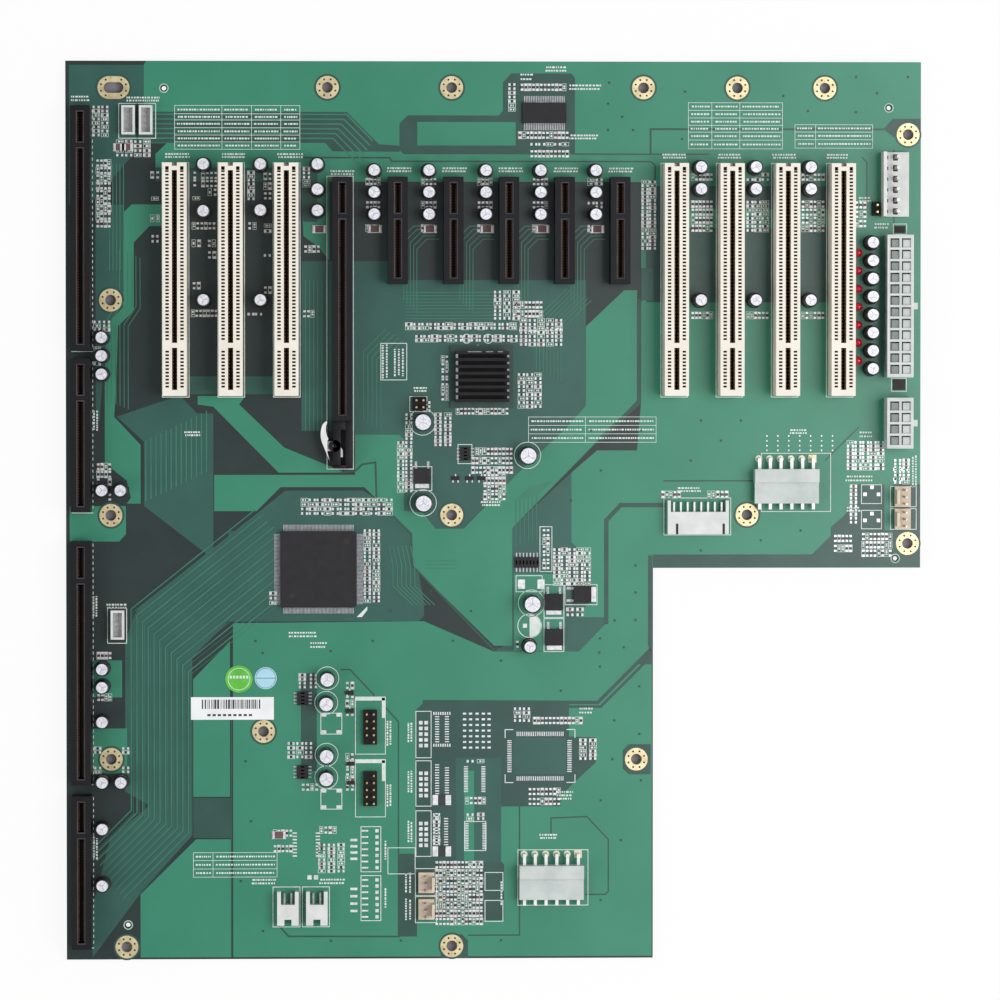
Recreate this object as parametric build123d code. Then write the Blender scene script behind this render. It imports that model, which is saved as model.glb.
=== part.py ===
from build123d import *
import os

os.makedirs("parts", exist_ok=True)

# A passive backplane: an L-shaped circuit board with card slots, power and signal headers.
# The board lies flat. Its outline is centred on the origin, and the slot pegs stand on z = 0.

# Board
BOARD_WIDTH = 313.8
BOARD_LENGTH = 329.4
BOARD_THICKNESS = 1.6
STEP_WIDTH = 98.5
STEP_LENGTH = 143.6
PEG_REACH = 1.5
BOARD_BOTTOM = PEG_REACH
BOARD_TOP = BOARD_BOTTOM + BOARD_THICKNESS
LEFT_EDGE = -BOARD_WIDTH / 2
RIGHT_EDGE = BOARD_WIDTH / 2
LOWER_EDGE = -BOARD_LENGTH / 2
UPPER_EDGE = BOARD_LENGTH / 2
STEP_EDGE = RIGHT_EDGE - STEP_WIDTH

# Mounting holes, from the edges that they follow
MOUNT_HOLE = 4.0
TOP_ROW_INSET = 9.6
TOP_ROW_Y = UPPER_EDGE - TOP_ROW_INSET
TOP_ROW_X = (-61.1, -15.6, 54.8, 89.3, 121.5)
LEFT_COLUMN_INSET = 16.4
LEFT_COLUMN_X = LEFT_EDGE + LEFT_COLUMN_INSET
LEFT_COLUMN_Y = (77.2, -1.6, -91.1)
MIDDLE_ROW_Y = -1.6
MIDDLE_ROW_X = (-15.6, 93.0)
BOTTOM_ROW_INSET = 4.6
BOTTOM_ROW_Y = LOWER_EDGE + BOTTOM_ROW_INSET
BOTTOM_LEFT_INSET = 22.0
BOTTOM_CENTRE_X = -15.6
INNER_HOLE = (-84.7, -81.0)
STEP_HOLE_INSET = 6.1
STEP_HOLE_Y = -91.5
RIGHT_COLUMN_INSET = 4.7
RIGHT_COLUMN_X = RIGHT_EDGE - RIGHT_COLUMN_INSET
RIGHT_COLUMN_Y = (138.1, -12.2)
SLOTTED_HOLE_INSET = (17.6, 9.8)
SLOTTED_HOLE_LENGTH = 7.3
TOOLING_HOLE = 1.6
TOOLING_HOLE_SIDES = 6
UPPER_LEFT_TOOLING_INSET = (36.0, 10.0)
UPPER_RIGHT_TOOLING_INSET = (11.8, 16.8)
STEP_TOOLING_INSET = (9.2, 3.4)
LOWER_LEFT_TOOLING_INSET = (22.5, 12.7)

# Card slots, counted from 0 at the left
SLOT_PITCH = 20.32
SLOT_CENTRE_X = 5.2
SLOT_CENTRE_INDEX = 6
PEG_WIDTH = 2.2
PEG_CLEARANCE = 0.05

# White 32-bit slots
LEFT_PCI_COUNT = 3
X4_COUNT = 5
RIGHT_PCI_COUNT = 4
X16_INDEX = LEFT_PCI_COUNT
X4_INDEXES = range(X16_INDEX + 1, X16_INDEX + 1 + X4_COUNT)
RIGHT_PCI_START = X16_INDEX + 1 + X4_COUNT
PCI_INDEXES = (*range(LEFT_PCI_COUNT), *range(RIGHT_PCI_START, RIGHT_PCI_START + RIGHT_PCI_COUNT))
PCI_CENTRE_Y = 84.6
PCI_LENGTH = 84.8
PCI_WIDTH = 8.8
PCI_HEIGHT = 15.5
PCI_CARD_SLOT = 1.9
PCI_CARD_DEPTH = 9.0
PCI_LONG_START = 2.6
PCI_KEY_AT = 66.4
PCI_KEY_WIDTH = 1.8
PCI_SHORT_END = 2.2
PCI_LEAD_IN = 0.6
PCI_NOTCH_WIDTH = 2.2
PCI_NOTCH_LENGTH = 1.2
PCI_NOTCH_DEPTH = 3.0
PCI_PEG_INSET = 3.4

# Black serial slots
SERIAL_TOP_Y = 122.1
SERIAL_WIDTH = 7.2
SERIAL_HEIGHT = 11.25
SERIAL_CARD_SLOT = 1.9
SERIAL_CARD_DEPTH = 8.2
SERIAL_END_WALL = 1.9
SERIAL_KEY_AT = 14.4
SERIAL_KEY_WIDTH = 1.7
SERIAL_LEAD_IN = 0.5
SERIAL_PEG_INSET = 2.4
X16_LENGTH = 89.0
X8_LENGTH = 56.0
X4_LENGTH = 39.0

# Host board slots along the left edge, from the top down: name, length and the gap above
HOST_SLOT_INSET = 5.8
HOST_SLOT_X = LEFT_EDGE + HOST_SLOT_INSET
HOST_SLOTS_TOP_INSET = 16.8
HOST_SLOTS = (
    ("host_slot_a", X16_LENGTH, 0.0),
    ("host_slot_b", X8_LENGTH, 3.1),
    ("host_slot_c", X16_LENGTH, 10.7),
    ("host_slot_d", X8_LENGTH, 4.0),
)

# Card latch at the lower end of the long black slot
LATCH_LENGTH = 17.3
LATCH_NECK = 3.3
LATCH_END_BAR = 1.2
LATCH_BAR_WIDTH = 2.5
LATCH_WINDOW = 1.7
LATCH_PLATE_WIDTH = 2.9
LATCH_FLOOR = 3.6
LATCH_ROOF = 1.4
LATCH_HEIGHT = 9.6
LATCH_CAVITY_TOP_MARGIN = 4.2
LATCH_CAVITY_END_MARGIN = 1.8
PIVOT_FROM_SLOT = 9.2
PIVOT_FROM_PLATE = 0.7
PIVOT_BOSS_RADIUS = 2.2
PIVOT_BOSS_SIDES = 12
PIVOT_DIAMETER = 1.4
PIVOT_RUNNING_GAP = 0.05
LEVER_GAP = 0.25
LEVER_HUB_RADIUS = 2.0
LEVER_FOOT_GAP = 0.8
LEVER_HEIGHT = 9.4
LEVER_TIP = (-3.0, 9.2)
LEVER_TOP_LEFT = (-4.3, 8.0)
LEVER_BELLY = (-5.1, 5.0)
LEVER_SHOULDER = (-4.5, 1.0)
LEVER_FOOT = (-1.9, -5.4)
LEVER_HEEL = (-2.7, -2.2)
LEVER_WAIST = (-2.7, 1.6)
LEVER_BEAK = (-2.3, 2.7)
LEVER_INNER = (-3.2, 5.6)
LEVER_INNER_TIP = (-2.7, 8.6)
HOOK_OUTLINE = ((0.6, 1.4), (2.9, -1.4), (3.0, -4.1), (2.1, -4.1), (-0.9, -1.4))
ARM_OUTLINE = ((-3.4, 1.5), (0.0, 1.8), (0.0, -1.8), (-3.2, -1.9))

# Round capacitors: diameter and height, and the flats that stand for the round can
SMALL_CAN = (5.0, 11.0)
MEDIUM_CAN = (5.8, 11.0)
LARGE_CAN = (6.6, 11.5)
SMALL_CAN_SIDES = 8
LARGE_CAN_SIDES = 12
CAN_COLUMNS = (
    (-106.4, (126.7, 109.6, 77.2)),
    (-85.6, (126.7, 109.9, 77.2)),
    (-64.8, (126.7, 117.5, 109.8)),
    (-44.1, (124.5, 116.5, 108.5)),
    (-24.1, (124.5, 116.5, 108.5)),
    (-3.3, (124.5, 116.5, 108.5)),
    (16.7, (124.5, 116.5, 108.5)),
    (36.9, (124.5, 116.5, 108.5)),
    (75.4, (125.8, 117.8, 77.2)),
    (95.5, (125.8, 117.8, 77.2)),
    (115.6, (125.8, 117.8, 77.2)),
    (LEFT_EDGE + 13.4, (63.5, 56.8, 50.1, 7.7, -57.6, -64.2, -76.9, -99.0, -116.0, -136.7)),
    (LEFT_EDGE + 20.2, (7.7, -99.0)),
    (12.8, (-49.6,)),
)
BULK_COLUMN_TOP_Y = 98.3
BULK_COUNT = 8
BULK_PITCH = 6.6
MEDIUM_CAN_PLACES = ((-61.3, -61.5), (-61.7, -70.5), (-61.6, -89.6), (-61.7, -97.9))
LARGE_CAN_PLACES = ((-26.3, 32.6), (12.2, 20.3), (-26.1, 2.9), (13.7, -34.0))

# Red lamps between the last slot and the bulk capacitors
LAMP_DIAMETER = 3.0
LAMP_HEIGHT = 5.3
LAMP_SIDES = 8
LAMP_CLEARANCE = 0.58
BULK_CLEARANCE = 0.8
LAMP_TOP_Y = 94.6
LAMP_COUNT = 7
LAMP_PITCH = 6.6

# Main power header, two rows of square sockets
POWER_PITCH = 4.2
POWER_SOCKET = 3.3
POWER_SOCKET_DEPTH = 8.0
POWER_BODY_WIDTH = 9.6
POWER_BODY_HEIGHT = 12.8
POWER_END_WALL = 0.9
POWER_PIN = 1.1
POWER_PIN_HEIGHT = 7.0
POWER_LATCH_WIDTH = 2.4
POWER_LATCH_REACH = 1.5
POWER_LATCH_DROP = 3.0
MAIN_POWER_COLUMNS = 12
POWER_INSET = 8.7
MAIN_POWER_CENTRE = (RIGHT_EDGE - POWER_INSET, 75.0)
PROCESSOR_POWER_COLUMNS = 4
PROCESSOR_POWER_CENTRE = (RIGHT_EDGE - POWER_INSET, 32.2)

# Upright auxiliary power header
DISK_PITCH = 3.96
DISK_PIN = 1.1
AUX_INSET = 9.7
AUX_CENTRE = (RIGHT_EDGE - AUX_INSET, 119.7)
AUX_PINS = 6
AUX_WIDTH = 10.0
AUX_BASE_HEIGHT = 3.4
AUX_WALL = 1.2
AUX_WALL_HEIGHT = 10.6
AUX_PIN_HEIGHT = 14.0
DISK_END_MARGIN = 1.9

# Right-angle disk power headers: name and centre of the body, an upright wall with a tongue over the pins
DISK_HEADERS = (("disk_power_right", (107.2, 9.0)), ("disk_power_lower", (20.9, -136.4)))
DISK_WALL_DEPTH = 4.8
DISK_WALL_HEIGHT = 8.4
DISK_TONGUE_LENGTH = 7.8
DISK_TONGUE_THICKNESS = 1.4
DISK_TONGUE_CLEARANCE = 0.2
DISK_PIN_REACH = 4.0
DISK_PIN_LEVEL = 3.4
DISK_PIN_TIP = 2.2

# Eight-way shrouded header near the step of the board
SIGNAL_CENTRE = (74.7, -2.4)
SIGNAL_PITCH = 2.5
SIGNAL_PINS = 8
SIGNAL_LENGTH = 22.4
SIGNAL_BODY_DEPTH = 8.2
SIGNAL_HEIGHT = 6.0
SIGNAL_REAR_DEPTH = 4.2
SIGNAL_CHEEK = 1.1
SIGNAL_PIN = 0.64
SIGNAL_PIN_LEVEL = 2.6

# Small shrouded headers on 2.0 mm pitch: centres
WAFER_PITCH = 2.0
WAFER_PINS = 4
WAFER_SIZE = (4.9, 10.6)
WAFER_HEIGHT = 6.0
WAFER_WALL = 0.8
WAFER_FLOOR = 1.6
WAFER_PIN = 0.5
WAFER_INSETS = ((23.1, 142.9), (29.5, 142.9), (18.9, -41.6))
WAFER_CENTRES = [(LEFT_EDGE + inset, y) for inset, y in WAFER_INSETS]

# Two-way switch headers
SWITCH_CENTRES = ((-75.8, -145.7), (-65.2, -145.7))
SWITCH_SIZE = (7.9, 12.4)
SWITCH_HEIGHT = 6.0
SWITCH_ARM = 1.4
SWITCH_REAR_LENGTH = 7.6
SWITCH_NOTCH = (2.6, 2.2)
SWITCH_PITCH = 2.5
SWITCH_PIN = 0.64
SWITCH_PIN_LEVEL = 2.6

# Three-way fan headers, with the tongue on the right below and on the left at the right edge
FAN_PITCH = 2.54
FAN_PINS = 3
FAN_BASE_LENGTH = 7.5
FAN_BASE_DEPTH = 5.8
FAN_BASE_HEIGHT = 3.2
FAN_TONGUE = 1.0
FAN_TONGUE_HEIGHT = 11.0
FAN_TONGUE_LENGTH = 5.0
FAN_PIN = 0.64
FAN_PIN_HEIGHT = 11.4
LOWER_FANS_X = -25.0
LOWER_FANS_Y = (-136.6, -146.4)
RIGHT_FANS_INSET = 6.7
RIGHT_FANS_Y = (5.1, -3.1)

# Plain pin headers on 2.54 mm pitch
PIN_PITCH = 2.54
PIN_SIZE = 0.64
PIN_BASE_HEIGHT = 2.5
PIN_TOP = 8.6
UPPER_PORT = (-45.6, -79.4)
LOWER_PORT = (-45.6, -102.0)
PORT_COLUMNS = 2
PORT_ROWS = 5
BRIDGE_JUMPER = (-27.4, 39.3)
BRIDGE_JUMPER_COLUMNS = 2
POWER_JUMPER_INSET = 16.7
POWER_JUMPER_Y = 110.8
POWER_JUMPER_COLUMNS = 1
JUMPER_ROWS = 2

# Cooled bridge chip
BRIDGE_CENTRE = (-4.6, 49.2)
BRIDGE_CARRIER = (23.0, 1.2)
BRIDGE_DIE = (15.0, 0.9)
PAD_THICKNESS = 0.3
SINK_WIDTH = 19.6
SINK_LENGTH = 18.6
SINK_BASE = 2.0
SINK_HEIGHT = 9.0
SINK_FINS = 8
SINK_FIN_WIDTH = 1.1

# Flat chips: standoff above the board
CHIP_STANDOFF = 0.2
QUAD_CENTRE = (-64.5, -21.4)
QUAD_BODY = (28.0, 3.4)
QUAD_CORNER = 1.0
SHRINK_CENTRE = (18.4, 145.8)
SHRINK_BODY = (15.9, 7.5, 2.3)
SMALL_CHIPS = (
    ((12.0, -19.0), (8.7, 3.9, 1.5)),
    ((-10.6, 20.9), (3.9, 4.9, 1.5)),
    ((-70.3, -68.8), (4.2, 4.9, 1.5)),
    ((-70.4, -95.9), (4.2, 4.9, 1.5)),
)
TRANSISTORS = (
    ((21.9, -33.6), (6.5, 6.1), "tab below"),
    ((32.4, -30.8), (6.5, 6.1), "tab right"),
    ((22.1, -46.5), (6.5, 6.1), "tab below"),
    ((-26.5, 12.7), (6.1, 5.6), "tab below"),
)
TRANSISTOR_HEIGHT = 2.3
TAB_THICKNESS = 0.5
TAB_REACH = 1.6
TAB_WIDTH = 5.2
FUSES = ((-19.3, -106.3), (-19.3, -125.2))
FUSE_SIZE = (6.6, 3.6, 1.0)

# Labels
LABEL_THICKNESS = 0.1
STICKER_SIDES = 16
BARCODE_CENTRE = (-96.1, -72.5)
BARCODE_SIZE = (30.4, 8.3)
GREEN_STICKER_CENTRE = (-93.7, -61.7)
GREEN_STICKER_DIAMETER = 10.0
BLUE_STICKER_CENTRE = (-83.9, -61.4)
BLUE_STICKER_DIAMETER = 8.1

MIN_Z = (Align.CENTER, Align.CENTER, Align.MIN)


def block(size_x, size_y, size_z, x=0.0, y=0.0, z=0.0):
    """A box that stands on z, centred on x and y."""
    return Pos(x, y, z) * Box(size_x, size_y, size_z, align=MIN_Z)


def prism(diameter, height, sides, x, y, z):
    """An upright prism whose flats lie on the circle of this diameter."""
    sketch = RegularPolygon(diameter / 2, sides, major_radius=False)
    return extrude(Pos(x, y, z) * sketch, height)


def slot_x(index):
    return SLOT_CENTRE_X + (index - SLOT_CENTRE_INDEX) * SLOT_PITCH


def host_places():
    """Name, length and centre of each host board slot, one below the other."""
    places = []
    start = UPPER_EDGE - HOST_SLOTS_TOP_INSET
    for name, length, gap in HOST_SLOTS:
        start -= gap
        places.append((name, length, start - length / 2))
        start -= length
    return places


def peg_places():
    """The centre of each slot peg, which is also a hole of the board."""
    places = []
    for index in PCI_INDEXES:
        for side in (-1, 1):
            places.append((slot_x(index), PCI_CENTRE_Y + side * (PCI_LENGTH / 2 - PCI_PEG_INSET)))
    serial = [(slot_x(X16_INDEX), X16_LENGTH, SERIAL_TOP_Y - X16_LENGTH / 2)]
    serial += [(slot_x(index), X4_LENGTH, SERIAL_TOP_Y - X4_LENGTH / 2) for index in X4_INDEXES]
    serial += [(HOST_SLOT_X, length, centre) for name, length, centre in host_places()]
    for x, length, centre in serial:
        for side in (-1, 1):
            places.append((x, centre + side * (length / 2 - SERIAL_PEG_INSET)))
    return places


def mount_places():
    places = [(x, TOP_ROW_Y) for x in TOP_ROW_X]
    places += [(LEFT_COLUMN_X, y) for y in LEFT_COLUMN_Y]
    places += [(x, MIDDLE_ROW_Y) for x in MIDDLE_ROW_X]
    places += [(RIGHT_COLUMN_X, y) for y in RIGHT_COLUMN_Y]
    places += [(LEFT_EDGE + BOTTOM_LEFT_INSET, BOTTOM_ROW_Y), (BOTTOM_CENTRE_X, BOTTOM_ROW_Y)]
    return places + [INNER_HOLE, (STEP_EDGE - STEP_HOLE_INSET, STEP_HOLE_Y)]


def tooling_places():
    step_y = LOWER_EDGE + STEP_LENGTH
    upper_left, upper_right = UPPER_LEFT_TOOLING_INSET, UPPER_RIGHT_TOOLING_INSET
    by_step, lower_left = STEP_TOOLING_INSET, LOWER_LEFT_TOOLING_INSET
    return (
        (LEFT_EDGE + upper_left[0], UPPER_EDGE - upper_left[1]),
        (RIGHT_EDGE - upper_right[0], UPPER_EDGE - upper_right[1]),
        (RIGHT_EDGE - by_step[0], step_y + by_step[1]),
        (LEFT_EDGE + lower_left[0], LOWER_EDGE + lower_left[1]),
    )


def circuit_board():
    step_y = LOWER_EDGE + STEP_LENGTH
    corners = [
        (LEFT_EDGE, LOWER_EDGE),
        (STEP_EDGE, LOWER_EDGE),
        (STEP_EDGE, step_y),
        (RIGHT_EDGE, step_y),
        (RIGHT_EDGE, UPPER_EDGE),
        (LEFT_EDGE, UPPER_EDGE),
    ]
    plan = make_face(Polyline(*corners, close=True))
    slotted_x, slotted_y = SLOTTED_HOLE_INSET
    slotted = Pos(LEFT_EDGE + slotted_x, UPPER_EDGE - slotted_y)
    holes = [slotted * SlotOverall(SLOTTED_HOLE_LENGTH, MOUNT_HOLE)]
    for x, y in mount_places():
        holes.append(Pos(x, y) * Circle(MOUNT_HOLE / 2))
    for x, y in tooling_places():
        holes.append(Pos(x, y) * RegularPolygon(TOOLING_HOLE / 2, TOOLING_HOLE_SIDES, major_radius=False))
    peg_hole = PEG_WIDTH + 2 * PEG_CLEARANCE
    holes += [Pos(x, y) * Rectangle(peg_hole, peg_hole) for x, y in peg_places()]
    return extrude(Pos(0, 0, BOARD_BOTTOM) * (plan - holes), BOARD_THICKNESS)


def pegs(length, inset):
    """Two pegs under a slot that lies along y, from the floor up to the top of the board."""
    return [block(PEG_WIDTH, PEG_WIDTH, BOARD_TOP, y=side * (length / 2 - inset)) for side in (-1, 1)]


def card_cut(width, lead_in, top, depth, start, end):
    """The pocket for a card edge between two y values, with a sloped mouth."""
    outline = [
        (-width / 2, top - depth),
        (width / 2, top - depth),
        (width / 2, top - lead_in),
        (width / 2 + lead_in, top),
        (-width / 2 - lead_in, top),
        (-width / 2, top - lead_in),
    ]
    across = Plane((0, start, 0), x_dir=(1, 0, 0), z_dir=(0, -1, 0))
    return extrude(across * make_face(Polyline(*outline, close=True)), start - end)


def pci_slot(index):
    top = BOARD_TOP + PCI_HEIGHT
    upper, lower = PCI_LENGTH / 2, -PCI_LENGTH / 2
    key_upper = upper - PCI_KEY_AT + PCI_KEY_WIDTH / 2
    body = block(PCI_WIDTH, PCI_LENGTH, PCI_HEIGHT, z=BOARD_TOP) + pegs(PCI_LENGTH, PCI_PEG_INSET)
    body -= card_cut(PCI_CARD_SLOT, PCI_LEAD_IN, top, PCI_CARD_DEPTH, upper - PCI_LONG_START, key_upper)
    body -= card_cut(
        PCI_CARD_SLOT, PCI_LEAD_IN, top, PCI_CARD_DEPTH, key_upper - PCI_KEY_WIDTH, lower + PCI_SHORT_END
    )
    notch_y = upper - PCI_NOTCH_LENGTH / 2
    body -= block(PCI_NOTCH_WIDTH, PCI_NOTCH_LENGTH, PCI_NOTCH_DEPTH, y=notch_y, z=top - PCI_NOTCH_DEPTH)
    return Pos(slot_x(index), PCI_CENTRE_Y, 0) * body


def serial_housing(length):
    """A black slot that lies along y, centred on the origin, with its key near the upper end."""
    top = BOARD_TOP + SERIAL_HEIGHT
    upper, lower = length / 2, -length / 2
    body = block(SERIAL_WIDTH, length, SERIAL_HEIGHT, z=BOARD_TOP)
    body += pegs(length, SERIAL_PEG_INSET)
    key_upper = upper - SERIAL_KEY_AT + SERIAL_KEY_WIDTH / 2
    spans = ((upper - SERIAL_END_WALL, key_upper), (key_upper - SERIAL_KEY_WIDTH, lower + SERIAL_END_WALL))
    for start, end in spans:
        body -= card_cut(SERIAL_CARD_SLOT, SERIAL_LEAD_IN, top, SERIAL_CARD_DEPTH, start, end)
    return body


def pivot_place():
    """The latch pivot in plan: it lies below the slot's lower end, near the left edge of the plate."""
    bar_right = slot_x(X16_INDEX) + SERIAL_WIDTH / 2
    plate_left = bar_right - LATCH_BAR_WIDTH - LATCH_WINDOW - LATCH_PLATE_WIDTH
    return plate_left + PIVOT_FROM_PLATE, SERIAL_TOP_Y - X16_LENGTH - PIVOT_FROM_SLOT


def latch_frame():
    """The moulded frame that carries the lever: a bar and a split plate with a window between them."""
    pivot_x, pivot_y = pivot_place()
    start = SERIAL_TOP_Y - X16_LENGTH
    end = start - LATCH_LENGTH
    left = pivot_x - PIVOT_FROM_PLATE
    window_left = left + LATCH_PLATE_WIDTH
    window_right = window_left + LATCH_WINDOW
    right = window_right + LATCH_BAR_WIDTH
    frame = block(right - left, LATCH_LENGTH, LATCH_HEIGHT, (left + right) / 2, (start + end) / 2, BOARD_TOP)
    frame += prism(2 * PIVOT_BOSS_RADIUS, LATCH_HEIGHT, PIVOT_BOSS_SIDES, pivot_x, pivot_y, BOARD_TOP)
    window_start, window_end = start - LATCH_NECK, end + LATCH_END_BAR
    frame -= block(
        LATCH_WINDOW,
        window_start - window_end,
        LATCH_HEIGHT,
        (window_left + window_right) / 2,
        (window_start + window_end) / 2,
        BOARD_TOP,
    )
    cavity_start, cavity_end = start - LATCH_CAVITY_TOP_MARGIN, end + LATCH_CAVITY_END_MARGIN
    cavity_left = pivot_x - PIVOT_BOSS_RADIUS - LEVER_GAP
    frame -= block(
        window_left - cavity_left,
        cavity_start - cavity_end,
        LATCH_HEIGHT - LATCH_FLOOR - LATCH_ROOF,
        (window_left + cavity_left) / 2,
        (cavity_start + cavity_end) / 2,
        BOARD_TOP + LATCH_FLOOR,
    )
    frame -= Pos(pivot_x, pivot_y, BOARD_TOP) * Cylinder(PIVOT_DIAMETER / 2, LATCH_HEIGHT, align=MIN_Z)
    return frame


def pcie_x16_slot():
    centre = SERIAL_TOP_Y - X16_LENGTH / 2
    return Pos(slot_x(X16_INDEX), centre, 0) * serial_housing(X16_LENGTH) + latch_frame()


def latch_lever():
    """A crescent finger piece outside the frame, with a hub on the pivot and a hook in the window."""
    pivot_x, pivot_y = pivot_place()
    edge = Line(LEVER_TIP, LEVER_TOP_LEFT) + ThreePointArc(LEVER_TOP_LEFT, LEVER_BELLY, LEVER_SHOULDER)
    edge += Line(LEVER_SHOULDER, LEVER_FOOT) + Line(LEVER_FOOT, LEVER_HEEL)
    edge += Line(LEVER_HEEL, LEVER_WAIST) + Line(LEVER_WAIST, LEVER_BEAK)
    edge += ThreePointArc(LEVER_BEAK, LEVER_INNER, LEVER_INNER_TIP) + Line(LEVER_INNER_TIP, LEVER_TIP)
    crescent = extrude(Pos(0, 0, LEVER_FOOT_GAP) * make_face(edge), LEVER_HEIGHT - LEVER_FOOT_GAP)
    hook = make_face(Polyline(*HOOK_OUTLINE, close=True))
    arm = make_face(Polyline(*ARM_OUTLINE, close=True))
    web = Circle(LEVER_HUB_RADIUS) + hook + arm
    web -= Circle(PIVOT_DIAMETER / 2 + PIVOT_RUNNING_GAP)
    web_height = LATCH_HEIGHT - LATCH_FLOOR - LATCH_ROOF - 2 * LEVER_GAP
    lever = crescent + extrude(Pos(0, 0, LATCH_FLOOR + LEVER_GAP) * web, web_height)
    return Pos(pivot_x, pivot_y, BOARD_TOP) * lever


def latch_pin():
    pivot_x, pivot_y = pivot_place()
    return Pos(pivot_x, pivot_y, BOARD_TOP) * Cylinder(PIVOT_DIAMETER / 2, LATCH_HEIGHT, align=MIN_Z)


def lamp_column_x():
    """The lamps stand just right of the last white slot."""
    return slot_x(PCI_INDEXES[-1]) + PCI_WIDTH / 2 + LAMP_CLEARANCE + LAMP_DIAMETER / 2


def small_cans():
    diameter, height = SMALL_CAN
    bulk_x = lamp_column_x() + LAMP_DIAMETER / 2 + BULK_CLEARANCE + diameter / 2
    places = [(x, y) for x, rows in CAN_COLUMNS for y in rows]
    places += [(bulk_x, BULK_COLUMN_TOP_Y - i * BULK_PITCH) for i in range(BULK_COUNT)]
    return [prism(diameter, height, SMALL_CAN_SIDES, x, y, BOARD_TOP) for x, y in places]


def larger_cans(size, places):
    diameter, height = size
    return [prism(diameter, height, LARGE_CAN_SIDES, x, y, BOARD_TOP) for x, y in places]


def lamps():
    rows = [LAMP_TOP_Y - i * LAMP_PITCH for i in range(LAMP_COUNT)]
    return [prism(LAMP_DIAMETER, LAMP_HEIGHT, LAMP_SIDES, lamp_column_x(), y, BOARD_TOP) for y in rows]


def power_places(centre, columns):
    """Socket centres of a two-row power header that lies along y."""
    x, y = centre
    rows = [y + (i - (columns - 1) / 2) * POWER_PITCH for i in range(columns)]
    return [(x + side * POWER_PITCH / 2, row) for side in (-1, 1) for row in rows]


def power_housing(centre, columns):
    x, y = centre
    length = columns * POWER_PITCH + 2 * POWER_END_WALL
    body = block(POWER_BODY_WIDTH, length, POWER_BODY_HEIGHT, x, y, BOARD_TOP)
    floor = BOARD_TOP + POWER_BODY_HEIGHT - POWER_SOCKET_DEPTH
    places = power_places(centre, columns)
    body -= [block(POWER_SOCKET, POWER_SOCKET, POWER_SOCKET_DEPTH, *place, floor) for place in places]
    latch_z = BOARD_TOP + POWER_BODY_HEIGHT - POWER_LATCH_DROP
    latch_x = x + POWER_BODY_WIDTH / 2 + POWER_LATCH_REACH / 2
    return body + block(POWER_LATCH_REACH, POWER_LATCH_WIDTH, POWER_LATCH_DROP, latch_x, y, latch_z)


def power_pins(centre, columns):
    floor = BOARD_TOP + POWER_BODY_HEIGHT - POWER_SOCKET_DEPTH
    size = (POWER_PIN, POWER_PIN, POWER_PIN_HEIGHT)
    return [block(*size, *place, floor) for place in power_places(centre, columns)]


def spread(count, pitch, centre):
    return [centre + (i - (count - 1) / 2) * pitch for i in range(count)]


def aux_housing():
    x, y = AUX_CENTRE
    length = (AUX_PINS - 1) * DISK_PITCH + 2 * DISK_END_MARGIN
    body = block(AUX_WIDTH, length, AUX_BASE_HEIGHT, x, y, BOARD_TOP)
    wall_x = x - AUX_WIDTH / 2 + AUX_WALL / 2
    return body + block(AUX_WALL, length, AUX_WALL_HEIGHT, wall_x, y, BOARD_TOP)


def aux_pins():
    x, y = AUX_CENTRE
    base = BOARD_TOP + AUX_BASE_HEIGHT
    height = AUX_PIN_HEIGHT - AUX_BASE_HEIGHT
    return [block(DISK_PIN, DISK_PIN, height, x, row, base) for row in spread(AUX_PINS, DISK_PITCH, y)]


def disk_housing(centre):
    """A wall that the pins pass through, with a tongue in front of it that lies over them."""
    x, y = centre
    width = (AUX_PINS - 1) * DISK_PITCH + 2 * DISK_END_MARGIN
    wall_y = y + DISK_TONGUE_LENGTH / 2
    tongue_y = y - DISK_WALL_DEPTH / 2
    tongue_z = BOARD_TOP + DISK_PIN_LEVEL + DISK_PIN + DISK_TONGUE_CLEARANCE
    body = block(width, DISK_WALL_DEPTH, DISK_WALL_HEIGHT, x, wall_y, BOARD_TOP)
    body += block(width, DISK_TONGUE_LENGTH, DISK_TONGUE_THICKNESS, x, tongue_y, tongue_z)
    hole = (DISK_PIN, DISK_WALL_DEPTH, DISK_PIN)
    columns = spread(AUX_PINS, DISK_PITCH, x)
    return body - [block(*hole, column, wall_y, BOARD_TOP + DISK_PIN_LEVEL) for column in columns]


def angle_pins(columns, back_y, size, level, reach):
    """Pins that start at a y value, run along +y and turn down onto the board."""
    outline = [
        (0, level),
        (0, level + size),
        (reach, level + size),
        (reach, 0),
        (reach - size, 0),
        (reach - size, level),
    ]
    profile = make_face(Polyline(*outline, close=True))
    solids = []
    for x in columns:
        plane = Plane((x - size / 2, back_y, BOARD_TOP), x_dir=(0, 1, 0), z_dir=(1, 0, 0))
        solids.append(extrude(plane * profile, size))
    return solids


def disk_pins(centre):
    x, y = centre
    columns = spread(AUX_PINS, DISK_PITCH, x)
    length = DISK_TONGUE_LENGTH + DISK_WALL_DEPTH
    reach = DISK_PIN_TIP + length + DISK_PIN_REACH
    return angle_pins(columns, y - length / 2 - DISK_PIN_TIP, DISK_PIN, DISK_PIN_LEVEL, reach)


def signal_housing():
    x, y = SIGNAL_CENTRE
    depth = SIGNAL_BODY_DEPTH + SIGNAL_REAR_DEPTH
    body = block(SIGNAL_LENGTH, depth, SIGNAL_HEIGHT, x, y, BOARD_TOP)
    bay_width = SIGNAL_LENGTH - 2 * SIGNAL_CHEEK
    bay_y = y + depth / 2 - SIGNAL_REAR_DEPTH / 2
    return body - block(bay_width, SIGNAL_REAR_DEPTH, SIGNAL_HEIGHT, x, bay_y, BOARD_TOP)


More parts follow.
